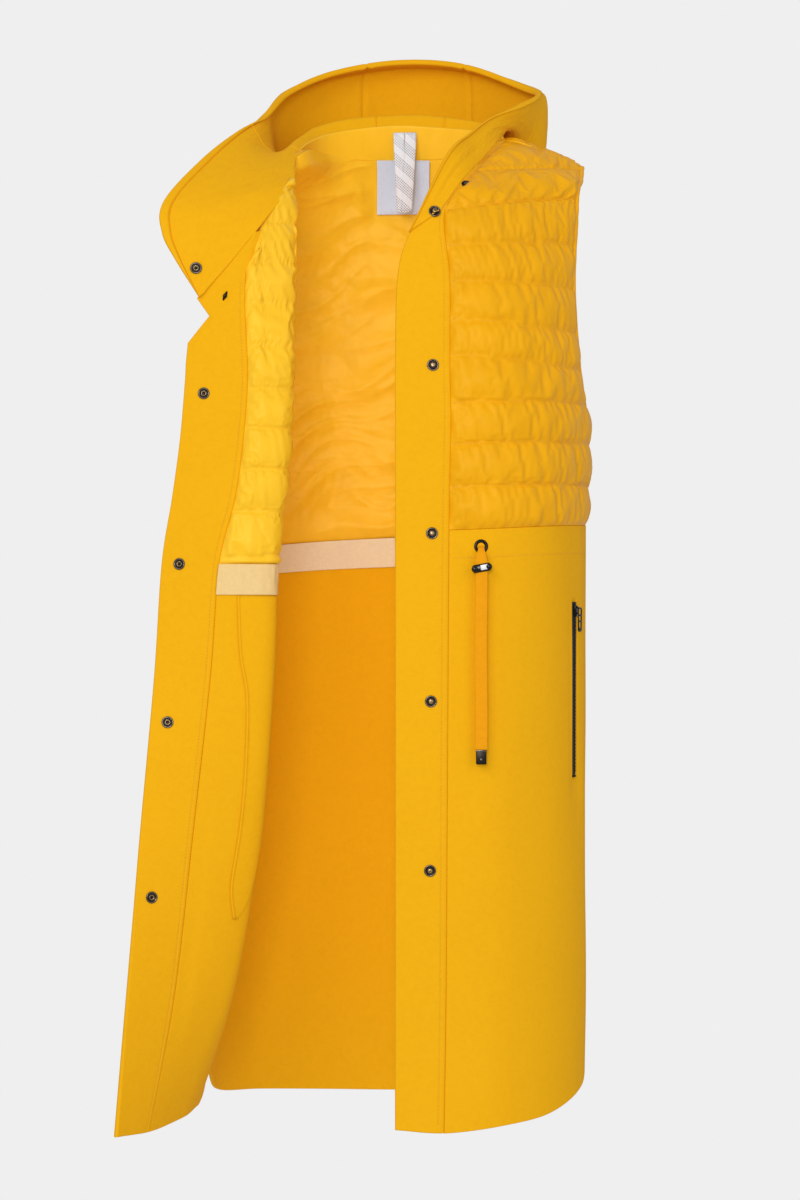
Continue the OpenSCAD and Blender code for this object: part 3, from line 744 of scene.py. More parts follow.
def quilt(panel, quilting, seed, height, edge_pull=9.0):
    """Height of the quilting over a panel, in mm, with puckers that run across the stitch lines."""
    q = channels(panel.p, quilting)
    k = np.floor(q)
    f = q - k
    from_line = np.minimum(f, 1 - f) * CHANNEL
    puff = np.sin(np.pi * f) ** 0.62
    s = panel.along
    pucker = np.zeros_like(f)
    for number in np.unique(k):
        here = k == number
        lean = (f - 0.5) * 10
        pucker = np.where(here, waves(s + lean, np.zeros_like(s), seed + int(number), 7, 22, 10), pucker)
    near = np.exp(-from_line / 10)
    out = height * puff * (1 + 0.16 * waves(s, panel.up, seed + 50, 40, 120))
    out += pucker * (1.35 * near + 0.30) * np.clip(from_line / 3.0, 0.12, 1)
    out += 0.5 * waves(s, panel.up * 0.45, seed + 90, 12, 36)
    sides = np.minimum(s, s[:, -1:] - s)
    return np.maximum(out * np.clip(sides / edge_pull, 0, 1) ** 0.6, -0.4)


# ---------------------------------------------------------------- cloth simulation of the quilted cloths
SIM_STEP = 2.7                   # mm between the points that are simulated
SIM_FRAMES = 18
MOST_MOVE = 7.0                  # mm that a point of the cloth may move
HELD_NEAR = 0.55                 # steps on both sides of a stitch line that are held


def simulated(panel, quilting, seed, side, height, slack, pressure):
    """Moves of a cloth held along its stitch lines and edges, cut too long in between and blown from within.

    The result is in mm for each point of the panel; side is 1 to blow along the panel's outward normal.
    A point moves MOST_MOVE at most, and never into the wadding."""
    us, vs = panel.u[0], panel.v[:, 0]
    nu = max(8, int(panel.along[:, -1].mean() / SIM_STEP))
    nv = max(8, int(panel.up[-1].mean() / SIM_STEP))
    coarse = Panel(panel.net, np.linspace(us[0], us[-1], nu), np.linspace(vs[0], vs[-1], nv), side=panel.side)
    out = coarse.n * side
    q = channels(coarse.p, quilting)
    held = np.abs(q - np.round(q)) < HELD_NEAR * SIM_STEP / CHANNEL
    held[[0, -1], :] = True
    held[:, [0, -1]] = True
    shape = quilt(coarse, quilting, seed, height)
    shape[held] = 0
    start = coarse.p + out * shape[..., None]
    faces = grid_faces(nu, nv, 0, side * panel.side < 0)
    mesh = bpy.data.meshes.new("cloth_in_work")
    mesh.from_pydata((start.reshape(-1, 3) * MM).tolist(), [], faces.tolist())
    o = bpy.data.objects.new("cloth_in_work", mesh)
    bpy.context.scene.collection.objects.link(o)
    group = o.vertex_groups.new(name="held")
    group.add(np.nonzero(held.ravel())[0].tolist(), 1.0, "REPLACE")
    modifier = o.modifiers.new("cloth", "CLOTH")
    c = modifier.settings
    c.quality = 5
    c.mass = 0.12
    c.tension_stiffness = c.compression_stiffness = 12
    c.shear_stiffness = 3
    c.bending_stiffness = 0.35
    c.tension_damping = c.compression_damping = 8
    c.air_damping = 3
    c.shrink_min = -slack
    c.use_pressure = True
    c.uniform_pressure_force = pressure
    c.vertex_group_mass = "held"
    c.pin_stiffness = 1.0
    c.effector_weights.gravity = 0
    modifier.collision_settings.use_collision = False
    modifier.point_cache.frame_start = 1
    modifier.point_cache.frame_end = SIM_FRAMES
    for frame_number in range(1, SIM_FRAMES + 1):
        bpy.context.scene.frame_set(frame_number)
    done = o.evaluated_get(bpy.context.evaluated_depsgraph_get())
    points = np.empty(nu * nv * 3)
    done.data.vertices.foreach_get("co", points)
    move = points.reshape(nv, nu, 3) / MM - coarse.p
    bpy.data.objects.remove(o)
    bpy.data.meshes.remove(mesh)
    bpy.context.scene.frame_set(1)
    lift = (move * out).sum(-1, keepdims=True)
    move += out * (np.clip(lift, 0, MOST_MOVE) - lift)
    size = np.linalg.norm(move, axis=-1, keepdims=True)
    move *= np.minimum(1, MOST_MOVE / np.maximum(size, 1e-6))
    wu = weights((us - us[0]) / (us[-1] - us[0]) * (nu - 1), nu)
    wv = weights((vs - vs[0]) / (vs[-1] - vs[0]) * (nv - 1), nv)
    return np.einsum("ki,lj,ijc->klc", wv, wu, move, optimize=True)


def blown_sheet(panel, name, material, quilting, seed, side, height, slack, pressure):
    move = simulated(panel, quilting, seed, side, height, slack, pressure)
    close = np.clip(panel.edge / 7, 0, 1)[..., None] ** 0.7
    near = panel.p + panel.n * side * (0.1 + 1.4 * close) + move * 0.97
    far = near + panel.n * side * 0.8
    inner, outer = (near, far) if side * panel.side > 0 else (far, near)
    return closed_sheet(name, inner, outer, material, panel.uv)


# Quilting: the heights of each stitch line at two places, then the x of both places
LEFT_QUILT = ([
    (-412, -404), (-369, -363), (-326, -320), (-285, -279), (-236, -245),
    (-200, -208), (-162, -160), (-126, -116), (-90, -67), (-50, -34), (-10, 2),
], 50, 185)
RIGHT_QUILT = ([
    (-446, -436), (-396, -392), (-352, -350), (-310, -309), (-268, -270), (-226, -226),
    (-184, -184), (-142, -142), (-100, -100), (-60, -60),
], -240, -110)
BACK_QUILT = ([
    (-434, -404), (-388, -366), (-346, -326), (-304, -286), (-262, -246), (-220, -206),
    (-178, -166), (-136, -126), (-95, -88), (-55, -50), (-15, -12), (25, 25),
], -195, 195)

WAIST_V = 4.0                    # row of the waist seam, in every net
# mm for each unit of the nets' columns and rows, about right over a whole panel
LEFT_COLUMN, LEFT_ROW = 55, 55
RIGHT_COLUMN, RIGHT_ROW = 32, 75
BACK_COLUMN, BACK_ROW = 58, 62
SKIRT_ROW = 150
FOLD_SCALE = 48                  # mm for each net column, about right on every panel


def skirt_folds(panel, seed, amount):
    """Soft upright folds that grow towards the hem."""
    along = panel.u * FOLD_SCALE
    height = panel.p[..., 2]
    fall = np.clip((-430 - height) / 560, 0, 1)
    fold = waves(along, height * 0.10, seed, 110, 260, 8)
    small = waves(along, height * 0.35, seed + 1, 40, 90, 10)
    return amount * fold * fall**0.7 + 0.3 * small


def zip_groove(panel, u_at, top, length):
    """Height of the wool beside a zip: two soft lips with the teeth sunk between them."""
    cells = np.argmin(np.abs(panel.u[0] - u_at))
    across = panel.along - panel.along[:, cells:cells + 1]
    z = panel.p[..., 2]
    window = np.clip((top + 3 - z) / 4, 0, 1) * np.clip((z - (top - length - 3)) / 4, 0, 1)
    return window * (0.6 * np.exp(-((np.abs(across) - 8.0) / 2.2) ** 2) - 2.4 * np.exp(-(across / 5.0) ** 4))


def creases(panel, seed, height, tilt=0.35):
    """Long slanting folds with sharp crests, as smooth cloth drags across a lining."""
    x = panel.p[..., 0]
    z = panel.p[..., 2]
    bend = 16 * waves(x, z, seed, 90, 220, 8)
    out = np.zeros_like(x)
    for k, (length, share) in enumerate(((88, 1.0), (51, 0.6), (27, 0.35))):
        slant = tilt + 0.25 * math.sin(seed + 2.3 * k)
        phase = (z + slant * x + bend * (1 + 0.3 * k)) / length
        ridge = 1 - np.abs(np.sin(math.pi * phase + seed + k))
        fade = 0.5 + 0.5 * waves(x, z, seed + 7 * k + 3, 70, 190, 6)
        out += share * ridge**1.6 * np.clip(fade, 0, 1)
    return height * out


STITCH_HEIGHT = 2.3              # mm of the quilting's thread above the net


def quilt_stitches(name, panel, quilting, front=None):
    """Thread along each stitch line of a quilted panel, on a front that swings or on the back."""
    q = channels(panel.p, quilting)
    bits = Bits()
    for number in range(1, len(quilting[0]) - 1):
        path = []
        for column in range(3, panel.u.shape[1] - 3, 2):
            values = q[:, column]
            if values[0] > number or values[-1] < number:
                continue
            v = np.interp(number, values, panel.v[:, column])
            path.append([panel.u[0, column], v])
        if len(path) < 6:
            continue
        path = np.array(path)
        points = on(panel.net, path[:, 0], path[:, 1], panel.side * STITCH_HEIGHT)
        ups = panel.side * normal(panel.net, path[:, 0], path[:, 1])
        stitch_row(bits, points, ups)
    o = bits.done(name, thread)
    if front:
        swings(o)
    else:
        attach(o, "root")


def round_corner(u_side, u_in, v_in):
    """Rounds the hem corner at u_side, v = 0, over a patch that reaches to u_in and v_in."""

    def shift(u, v):
        a = np.clip((u - u_in) / (u_side - u_in), 0, 1)
        b = np.clip((v_in - v) / v_in, 0, 1)
        inside = (a > 0) & (b > 0)
        na = a * np.sqrt(1 - b**2 / 2)
        nb = b * np.sqrt(1 - a**2 / 2)
        return (
            np.where(inside, u_in + na * (u_side - u_in), u),
            np.where(inside, v_in - nb * v_in, v),
        )

    return shift


def both_corners(first, second):
    def shift(u, v):
        return second(*first(u, v))

    return shift


# ---------------------------------------------------------------- left front
left_us = spread(1.0, 5.0, 1.7, LEFT_COLUMN)
left_bodice = Panel(FRONT_LEFT, left_us, spread(WAIST_V, 12.0, 1.7, LEFT_ROW))
shell = blown_sheet(left_bodice, "front_left_bodice", shell_cloth, LEFT_QUILT, 11, 1, 4.0, 0.022, 4.0)
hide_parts("front_left_shell", "yoke_left")
left_lining = blown_sheet(
    left_bodice, "front_left_lining_cloth", lining_cloth, LEFT_QUILT, 31, -1, 2.5, 0.03, 3.0
)
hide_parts("front_left_lining")
left_fill = Panel(
    FRONT_LEFT, spread(1.12, 4.88, 5.0, LEFT_COLUMN), spread(WAIST_V + 0.12, 11.8, 5.0, LEFT_ROW)
).sheet("front_left_fill", wadding_cloth, -FILL, FILL, 1.0)
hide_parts("front_left_wadding")
for piece in (shell, left_lining, left_fill):
    swings(piece)

left_skirt_panel = Panel(
    FRONT_LEFT, left_us, spread(0.0, WAIST_V, 4.0, SKIRT_ROW), shift=round_corner(5.0, 4.05, 0.30)
)
ZIP_TOP = -484
ZIP_LENGTH = 180
ZIP_U_LEFT = 3.78
ZIP_U_RIGHT = 5.9
EYELET_U_LEFT = 1.62
EYELET_U_RIGHT = 2.1


def calm(panel, u_at, width=0.35):
    """Takes the folds out beside a fitting that must lie where the CAD says."""
    return 1 - np.exp(-(((panel.u - u_at) / width) ** 2)) * np.clip((panel.p[..., 2] + 760) / 60, 0, 1)


def slider_room(panel, u_at):
    """How far the cloth sinks beside a zip towards its low end, so that the slider passes over it."""
    z = panel.p[..., 2]
    low = np.clip((ZIP_TOP - z) / ZIP_LENGTH, 0, 1) * np.clip((z - ZIP_TOP + ZIP_LENGTH + 30) / 20, 0, 1)
    return 1.6 * low * np.exp(-(((panel.u - u_at) / 0.22) ** 4))


folds = skirt_folds(left_skirt_panel, 5, 3.2) * calm(left_skirt_panel, ZIP_U_LEFT)
folds *= calm(left_skirt_panel, EYELET_U_LEFT, 0.5)
folds += zip_groove(left_skirt_panel, ZIP_U_LEFT, ZIP_TOP, ZIP_LENGTH)
folds -= slider_room(left_skirt_panel, ZIP_U_LEFT)
left_skirt = left_skirt_panel.sheet("front_left_skirt_wool", wool, -HALF_WOOL, HALF_WOOL, 1.0, folds)
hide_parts("front_left_skirt")
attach(left_skirt, "front_left")

PLACKET_W = 52
TOPSTITCH = 6.0                  # mm from the placket's seam to its stitch line
TOPSTITCH_U = 1 - TOPSTITCH / PLACKET_W
left_placket_us = finer(spread(0.0, 1.006, 2.0, PLACKET_W), [TOPSTITCH_U], PLACKET_W)
left_placket_panel = Panel(FRONT_LEFT, left_placket_us, spread(0.0, 9.06, 3.0, 105))


def placket_height(panel):
    """Half the thickness of a doubled placket: dimpled along its stitch line, thinner at its seam."""
    to_seam = np.abs(panel.u - 1.0) * PLACKET_W
    soft = 0.35 * waves(panel.u * PLACKET_W, panel.p[..., 2], 61, 30, 90, 8)
    seam = np.clip(to_seam / 4.0, 0, 1) ** 0.7
    return 1.7 + 0.9 * seam + 0.25 * soft - 0.45 * np.exp(-((to_seam - TOPSTITCH) / 0.9) ** 2)


left_placket = left_placket_panel.sheet(
    "front_left_placket_wool", wool, -2.6, placket_height(left_placket_panel), 1.5
)
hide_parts("front_left_placket")
swings(left_placket)

# ---------------------------------------------------------------- right front
right_us = spread(1.0, 7.0, 1.7, RIGHT_COLUMN)
right_bodice = Panel(FRONT_RIGHT, right_us, spread(WAIST_V, 9.0, 1.7, RIGHT_ROW), side=-1)
shell = blown_sheet(right_bodice, "front_right_bodice", shell_cloth, RIGHT_QUILT, 71, 1, 3.0, 0.022, 3.5)
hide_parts("front_right_shell")
right_lining = blown_sheet(
    right_bodice, "front_right_lining_cloth", lining_cloth, RIGHT_QUILT, 91, -1, 3.5, 0.022, 3.5
)
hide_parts("front_right_lining")
right_fill = Panel(
    FRONT_RIGHT, spread(1.15, 6.85, 5.0, RIGHT_COLUMN), spread(WAIST_V + 0.12, 8.8, 5.0, RIGHT_ROW), side=-1
).sheet("front_right_fill", wadding_cloth, -FILL, FILL, 1.0)
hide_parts("front_right_wadding")
for piece in (shell, right_lining, right_fill):
    swings(piece)

right_skirt_panel = Panel(
    FRONT_RIGHT, right_us, spread(0.0, WAIST_V, 4.0, SKIRT_ROW), side=-1, shift=round_corner(7.0, 5.6, 0.30)
)
folds = skirt_folds(right_skirt_panel, 8, 2.0) * calm(right_skirt_panel, ZIP_U_RIGHT)
folds += zip_groove(right_skirt_panel, ZIP_U_RIGHT, ZIP_TOP, ZIP_LENGTH)
right_skirt = right_skirt_panel.sheet("front_right_skirt_wool", wool, -HALF_WOOL, HALF_WOOL, 1.0, folds)
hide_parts("front_right_skirt")
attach(right_skirt, "front_right")
right_placket_us = finer(spread(0.0, 1.006, 2.0, 55), [TOPSTITCH_U], PLACKET_W)
right_placket_panel = Panel(FRONT_RIGHT, right_placket_us, spread(0.0, 9.0, 3.0, 95), side=-1)
right_placket = right_placket_panel.sheet(
    "front_right_placket_wool", wool, -placket_height(right_placket_panel), 2.6, 1.5
)
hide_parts("front_right_placket")
swings(right_placket)
yoke = Panel(YOKE_RIGHT, spread(0.0, 3.0, 2.0, 22), spread(0.0, 2.0, 2.0, 30)).sheet(
    "yoke_right_quilt", shell_cloth, -2.6, 3.5, 2.6
)
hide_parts("yoke_right")
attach(yoke, "root")

# ---------------------------------------------------------------- back
back_us = spread(0.0, 8.0, 2.0, BACK_COLUMN)


def neck_lift(u, v):
    """Raises the top edge where it dips beside the right neck point, to meet the neckband."""
    return u, v + 0.3 * np.exp(-(((u - 5.75) / 0.45) ** 2)) * np.clip((v - 10.3) / 0.8, 0, 1)


back_panel = Panel(BACK, back_us, spread(WAIST_V, 11.1, 2.0, BACK_ROW), shift=neck_lift)
shell = blown_sheet(back_panel, "back_bodice", shell_cloth, BACK_QUILT, 131, 1, 4.5, 0.04, 5.0)
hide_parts("back_shell")
LABEL_U = (3.55, 4.35)
LABEL_V = (9.45, 10.95)
under_label = (
    np.clip((back_panel.u - LABEL_U[0] + 0.25) / 0.2, 0, 1)
    * np.clip((LABEL_U[1] + 0.25 - back_panel.u) / 0.2, 0, 1)
    * np.clip((back_panel.v - LABEL_V[0] + 0.3) / 0.25, 0, 1)
)
lining_puff = 0.25 * quilt(back_panel, BACK_QUILT, 171, 4.0, 6.0)
lining_puff += creases(back_panel, 5, 6.8, -0.30) + creases(back_panel, 9, 3.2, 0.35)
lining_puff += 0.22 * waves(back_panel.p[..., 0], back_panel.p[..., 2] * 1.6, 77, 9, 26, 16)
lining_puff *= (1 - under_label) * np.clip(back_panel.edge / 12, 0, 1)
close = np.clip(back_panel.edge / 7, 0, 1) ** 0.7
back_lining = back_panel.sheet(
    "back_lining_cloth", lining_cloth, -0.9 - 1.4 * close - lining_puff, -0.1 - 1.4 * close
)
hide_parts("back_lining")
back_fill = Panel(
    BACK, spread(0.12, 7.88, 6.0, BACK_COLUMN), spread(WAIST_V + 0.12, 10.8, 6.0, BACK_ROW)
).sheet("back_fill", wadding_cloth, -FILL, FILL, 1.0)
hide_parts("back_wadding")
for piece in (shell, back_lining, back_fill):
    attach(piece, "root")
back_skirt_panel = Panel(
    BACK, back_us, spread(0.0, WAIST_V, 4.0, SKIRT_ROW),
    shift=both_corners(round_corner(0.0, 0.8, 0.30), round_corner(8.0, 7.2, 0.30)),
)
folds = skirt_folds(back_skirt_panel, 14, 4.0)
back_skirt = back_skirt_panel.sheet("back_skirt_wool", wool, -HALF_WOOL, HALF_WOOL, 1.0, folds)
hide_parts("back_skirt")
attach(back_skirt, "root")

# ---------------------------------------------------------------- hood
HOOD_LEFT_AT = 5.0
HOOD_RIGHT_AT = 11.6
HOOD_SEAMS = (7.0, 8.5)          # columns of the seams down the middle of the pouch
HOOD_HEM = 6.35                  # row of the stitch line under the rolled opening edge
HOOD_COLUMN = 45                 # mm between the hood net's columns
HOOD_ROW = 30                    # and between its rows


def hood_tuck(u, v):
    """The flap's seam edge goes further under the front than the pouch's does."""
    return u, np.where(v < 0, v * (1 + 1.9 * np.clip((u - 12.6) / 1.0, 0, 1)), v)


def hood_sheet(name, u0, u1):
    us = finer(spread(u0, u1, 2.2, HOOD_COLUMN), HOOD_SEAMS, HOOD_COLUMN)
    vs = finer(spread(-0.22, 7.0, 2.2, HOOD_ROW), [HOOD_HEM], HOOD_ROW)
    panel = Panel(HOOD_NET, us, vs, shift=hood_tuck)
    x, y = panel.u * HOOD_COLUMN, panel.v * HOOD_ROW
    fat = np.clip((panel.v - HOOD_HEM) / 0.12, 0, 1) * 1.8
    soft = 0.7 * waves(x, y, 23, 50, 150, 8)
    soft += 0.25 * waves(x, y, 24, 14, 34, 10)
    soft *= np.clip(panel.edge / 12, 0, 1)
    seam = sum(np.exp(-((panel.u - at) * HOOD_COLUMN / 1.1) ** 2) for at in HOOD_SEAMS)
    seam = np.maximum(seam, 0.8 * np.exp(-((panel.v - HOOD_HEM) * HOOD_ROW / 0.9) ** 2))
    ridge = sum(np.exp(-(((np.abs(panel.u - at) * HOOD_COLUMN) - 3.2) / 1.6) ** 2) for at in HOOD_SEAMS)
    inside = -HALF_WOOL - fat - soft + 1.3 * seam - 0.5 * ridge
    outside = HALF_WOOL + fat - soft - 0.6 * seam
    o = panel.sheet(name, wool, inside, outside, 1.8)
    return o


hood_strip_left = hood_sheet("hood_strip_left", -0.1, HOOD_LEFT_AT)
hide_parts("front_left_hood_end")
swings(hood_strip_left)
hood_bag = hood_sheet("hood_bag", HOOD_LEFT_AT, HOOD_RIGHT_AT)
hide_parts("hood_center", "hood_left", "hood_right")
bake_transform(hood_bag)
hood_flap = hood_sheet("hood_flap", HOOD_RIGHT_AT, 17.0)
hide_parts("front_right_hood_end")
swings(hood_flap)


def neck_tuck(u, v):
    """Towards the right shoulder the back dips, so the neckband goes further down behind it."""
    return u, np.where(v < 0, v * (1 + 2.4 * np.clip((u - 5.4) / 1.0, 0, 1)), v)


neckband_panel = Panel(NECKBAND, spread(0.0, 8.0, 2.0, 38), spread(-0.32, 1.3, 2.0, 24), shift=neck_tuck)
neckband = neckband_panel.sheet("neckband_wool", wool, -HALF_WOOL, HALF_WOOL, 1.5)
neckband.data.materials.append(lining_cloth)
facing = (neckband_panel.u.shape[0] - 1) * (neckband_panel.u.shape[1] - 1)
for polygon in neckband.data.polygons[:facing]:
    polygon.material_index = 1
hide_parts("neckband")
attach(neckband, "root")
NECKBAND_RIGHT = [
    [[-187, -114, -194], [-171, -115, -171], [-158, -114, -148], [-146, -109, -110]],
    [[-200, -115, -176], [-184, -116, -157], [-165, -114, -128], [-144, -106, -101]],
]
SEAM_ALLOWANCE = [[-183, -113, -198], [-166, -113, -176], [-149, -110, -152], [-137, -103, -107]]
right_neckband_panel = Panel(
    [SEAM_ALLOWANCE] + NECKBAND_RIGHT, spread(-0.2, 3.0, 2.0, 28), spread(0.2, 2.1, 2.0, 16)
)
right_neckband = right_neckband_panel.sheet("front_right_neckband_wool", wool, -HALF_WOOL, HALF_WOOL, 1.2)
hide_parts("front_right_neckband")
swings(right_neckband)

# ---------------------------------------------------------------- waist tapes and pocket bags
TAPE_H = 36
LEFT_DROP = 148                  # mm, height of the left net's row under the waist


def waist_tape(node, net, us, drop, body, side, look=tape_cloth):
    """Beige tape over the waist seam inside; drop is the height in mm of the net's row under the seam."""
    panel = Panel(net, us, spread(WAIST_V - TAPE_H / drop, WAIST_V, 2.0, drop), side=side)
    soft = 0.5 * waves(panel.u * FOLD_SCALE, panel.p[..., 2], 201, 14, 50, 12) * np.clip(panel.edge / 5, 0, 1)
    o = panel.sheet(node + "_cloth", look, -3.7 + soft, -2.6 + soft, 0.8)
    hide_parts(node)
    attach(o, body)


waist_tape("front_left_waist_tape", FRONT_LEFT, left_us, LEFT_DROP, "front_left", 1)
waist_tape("front_right_waist_tape", FRONT_RIGHT, right_us, 114, "front_right", -1)
waist_tape("back_waist_tape", BACK, back_us, 138, "root", 1, back_tape_painted_lighter)


def pocket_bag(node, net, edge_points, u_side, body, side, low, high):
    """Two leaves of a pocket inside the skirt; edge_points are the u, v of its free edge from top to tip."""
    edge_points = np.array(edge_points, float)
    turns = len(edge_points) - 1
    t = np.linspace(0, turns, 60)
    free = weights(t, len(edge_points)) @ edge_points
    share = spread(0.0, 1.0, 3.0, 120)
    panel = Panel(net, share, np.linspace(0, 1, 60), side=side)
    u_free = free[:, :1]
    u_seam = u_side - (u_side - 0.15 - edge_points[-1, 0]) * (t / turns)[:, None] ** 5
    panel.lay(u_free + (u_seam - u_free) * share[None, :], free[:, 1:])
    lift = skirt_folds(panel, 8 if side < 0 else 5, 2.0 if side < 0 else 3.2)
    if side > 0:
        lift = lift - 1.4 * slider_room(panel, ZIP_U_LEFT)
    leaf = panel.sheet(node + "_leaves", pocket_cloth, low + lift, high + lift, 0.8)
    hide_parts(node)
    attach(leaf, body)
    bits = Bits()
    for inset, radius in ((0.0, 1.5), (0.06, 0.5)):
        path = on(net, free[:, 0] + inset, free[:, 1], side * (low + 0.2 + lift[:, 0]))
        bits.add(*tube(path, radius, 8, 0.8, side * normal(net, free[:, 0], free[:, 1])))
    binding = bits.done(node + "_binding", pocket_cloth)
    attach(binding, body)


RIGHT_BAG_EDGE = [
    (1.88, 3.68), (2.08, 3.19), (2.41, 2.86), (2.59, 2.4), (2.64, 2.03), (2.62, 1.69), (2.87, 1.49),
]
pocket_bag("front_right_pocket_bag", FRONT_RIGHT, RIGHT_BAG_EDGE, 4.0, "front_right", -1, -3.0, -2.0)
LEFT_BAG_EDGE = [(2.3, 3.62), (2.3, 3.0), (2.32, 2.5), (2.4, 2.0), (2.6, 1.6), (2.9, 1.45)]
pocket_bag("front_left_pocket_bag", FRONT_LEFT, LEFT_BAG_EDGE, 4.4, "front_left", 1, -5.6, -3.8)

# ---------------------------------------------------------------- label and hanger loop
label_panel = Panel(BACK, spread(*LABEL_U, 1.5, 78), spread(*LABEL_V, 1.5, 40))
label_wave = 0.5 * waves(label_panel.along, label_panel.up, 221, 25, 60, 6)
label_wave *= np.clip(label_panel.edge / 6, 0, 1)
label = label_panel.sheet("neck_label_cloth", label_cloth, -5.4 + label_wave, -4.6 + label_wave, 0.6)
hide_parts("neck_label")
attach(label, "root")
label_stitches = Bits()
for v in (LABEL_V[0] + 0.05, LABEL_V[1] - 0.04):
    us = np.linspace(LABEL_U[0] + 0.04, LABEL_U[1] - 0.04, 40)
    stitch_row(label_stitches, on(BACK, us, v, -5.4), -normal(BACK, us, v), 2.4)
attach(label_stitches.done("neck_label_stitches", label_thread), "root")

LOOP_Y = 92.4
LOOP_TOP = 22.0
LOOP_BOTTOM = -63.0
LEG_W = 12.2


def ribbon_leg(bits, x_top, x_low, y_off, turn):
    """One leg of the hanger loop: a flat ribbon that leans inwards and curls a little at its edges."""
    rows = 26
    t = np.linspace(0, 1, rows)
    z = LOOP_TOP + (LOOP_BOTTOM - LOOP_TOP) * t
    x = x_top + (x_low - x_top) * t**1.3
    y = LOOP_Y + y_off - 2.2 * np.sin(math.pi * t) - 1.2 * t
    across = np.linspace(-1, 1, 9)
    twist = turn * (0.25 + 0.5 * t)
    grid = []
    for depth in (0.35, -0.35):
        px = x[:, None] + across * LEG_W / 2 * np.cos(twist)[:, None]
        py = y[:, None] + across * LEG_W / 2 * np.sin(twist)[:, None] + depth + 0.5 * across**2
        pz = np.broadcast_to(z[:, None], px.shape)
        grid.append(np.stack([px, py, pz], axis=-1))
    bits.add(np.concatenate([layer.reshape(-1, 3) for layer in grid]), sheet_faces(len(across), rows))


loop_bits = Bits()
ribbon_leg(loop_bits, -1.2, 3.0, 0.5, -0.2)
ribbon_leg(loop_bits, 11.6, 6.8, -0.7, 0.2)
loop_fold = [
    [-1.5, LOOP_Y - 1.6, LOOP_BOTTOM + 0.4], [5, LOOP_Y - 1.9, LOOP_BOTTOM - 0.9],
    [11.5, LOOP_Y - 1.6, LOOP_BOTTOM + 0.4],
]
loop_bits.add(*tube(loop_fold, [1.0, 1.3, 1.0], 8, 0.7))
hanger = loop_bits.done("hanger_loop_ribbon", loop_ribbon)
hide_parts("hanger_loop")
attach(hanger, "loop")

# ---------------------------------------------------------------- armhole bindings
def piping(name, net, u, v0, v1, radius=3.0, side=1):
    """A rolled edge along a column of a net."""
    vs = np.linspace(v0, v1, 90)
    soft = 0.25 * waves(vs * 40, vs * 0, 231, 8, 20, 8)
    path = on(net, u, vs, side * 0.6)
    bits = Bits()
    bits.add(*tube(path, radius + soft, 12, 0.9, side * normal(net, u, vs)))
    return bits.done(name, shell_cloth)


for node, u in (("armhole_binding_left", 0.0), ("armhole_binding_right", 8.0)):
    back_edge = piping(f"{node}_roll", BACK, u, 6.2, 11.0)
    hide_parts(node)
    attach(back_edge, "root")
swings(piping("front_left_armhole_roll", FRONT_LEFT, 5.0, 6.2, 12.0))
swings(piping("front_right_armhole_roll", FRONT_RIGHT, 7.0, 6.8, 9.0, side=-1))
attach(piping("yoke_right_armhole_roll", YOKE_RIGHT, 3.0, 0.0, 2.0, 3.2), "root")

# ---------------------------------------------------------------- stitching
quilt_stitches("front_left_quilt_stitches", left_bodice, LEFT_QUILT, "front_left")
quilt_stitches("front_right_quilt_stitches", right_bodice, RIGHT_QUILT, "front_right")
quilt_stitches("back_quilt_stitches", back_panel, BACK_QUILT)


def seam_stitches(name, net, u, v, height):
    """Topstitching along u and v, at a height above the net."""
    u, v = np.broadcast_arrays(np.asarray(u, float), np.asarray(v, float))
    bits = Bits()
    stitch_row(bits, on(net, u, v, height), normal(net, u, v), 3.4)
    return bits.done(name, thread)


down = np.linspace(0.06, 8.9, 220)
for net, front in ((FRONT_LEFT, "front_left"), (FRONT_RIGHT, "front_right")):
    swings(seam_stitches(f"{front}_placket_stitches", net, TOPSTITCH_U, down, STITCH_HEIGHT))
TUNNEL_V = WAIST_V - 34 / LEFT_DROP          # 34 mm under the waist seam
TUNNEL_HEIGHT = 1.6
for name, net, us, body in (
    ("front_left_tunnel_stitches", FRONT_LEFT, np.linspace(1.05, 4.95, 90), "front_left"),
    ("back_tunnel_stitches", BACK, np.linspace(0.05, 7.95, 160), "root"),
):
    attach(seam_stitches(name, net, us, TUNNEL_V, TUNNEL_HEIGHT), body)

# ---------------------------------------------------------------- snaps and eyelets
DARK, LIGHT, CORE = 0, 1, 2
SNAP_RIM = [(6.0, -0.4, LIGHT), (6.05, 0.5, LIGHT), (5.8, 1.05, LIGHT), (5.2, 1.3, LIGHT)]
SOCKET_PROFILE = SNAP_RIM + [
    (4.6, 1.15, LIGHT), (4.3, 0.6, DARK), (3.2, 0.45, DARK), (2.9, 0.9, LIGHT),
    (2.4, 1.25, CORE), (1.9, 1.15, CORE), (1.7, 0.5, DARK), (0.1, 0.4, DARK),
]
STUD_PROFILE = SNAP_RIM + [
    (4.5, 1.1, LIGHT), (4.2, 0.6, DARK), (2.7, 0.5, DARK), (2.35, 0.9, CORE), (2.3, 1.9, CORE),
    (2.5, 2.5, CORE), (2.1, 3.0, CORE), (1.0, 3.15, LIGHT), (0.1, 3.1, LIGHT),
]
CAP_PROFILE = [(5.2, -0.2, DARK), (5.2, 0.5, DARK), (4.7, 1.0, DARK), (3.0, 1.25, LIGHT), (0.1, 1.35, LIGHT)]
PLACKET_FACE = 2.5
SNAP_ROWS_LEFT = (1.80, 2.85, 3.97, 6.9, 9.05)
SNAP_ROWS_RIGHT = (1.64, 2.70, 4.0, 6.75)


def fitting(bits, profile, net, u, v, height, side):
    points, faces, looks = lathe(profile)
    axes, at = seat(net, u, v, height, side)
    bits.add(placed(points, axes, at), faces, looks)


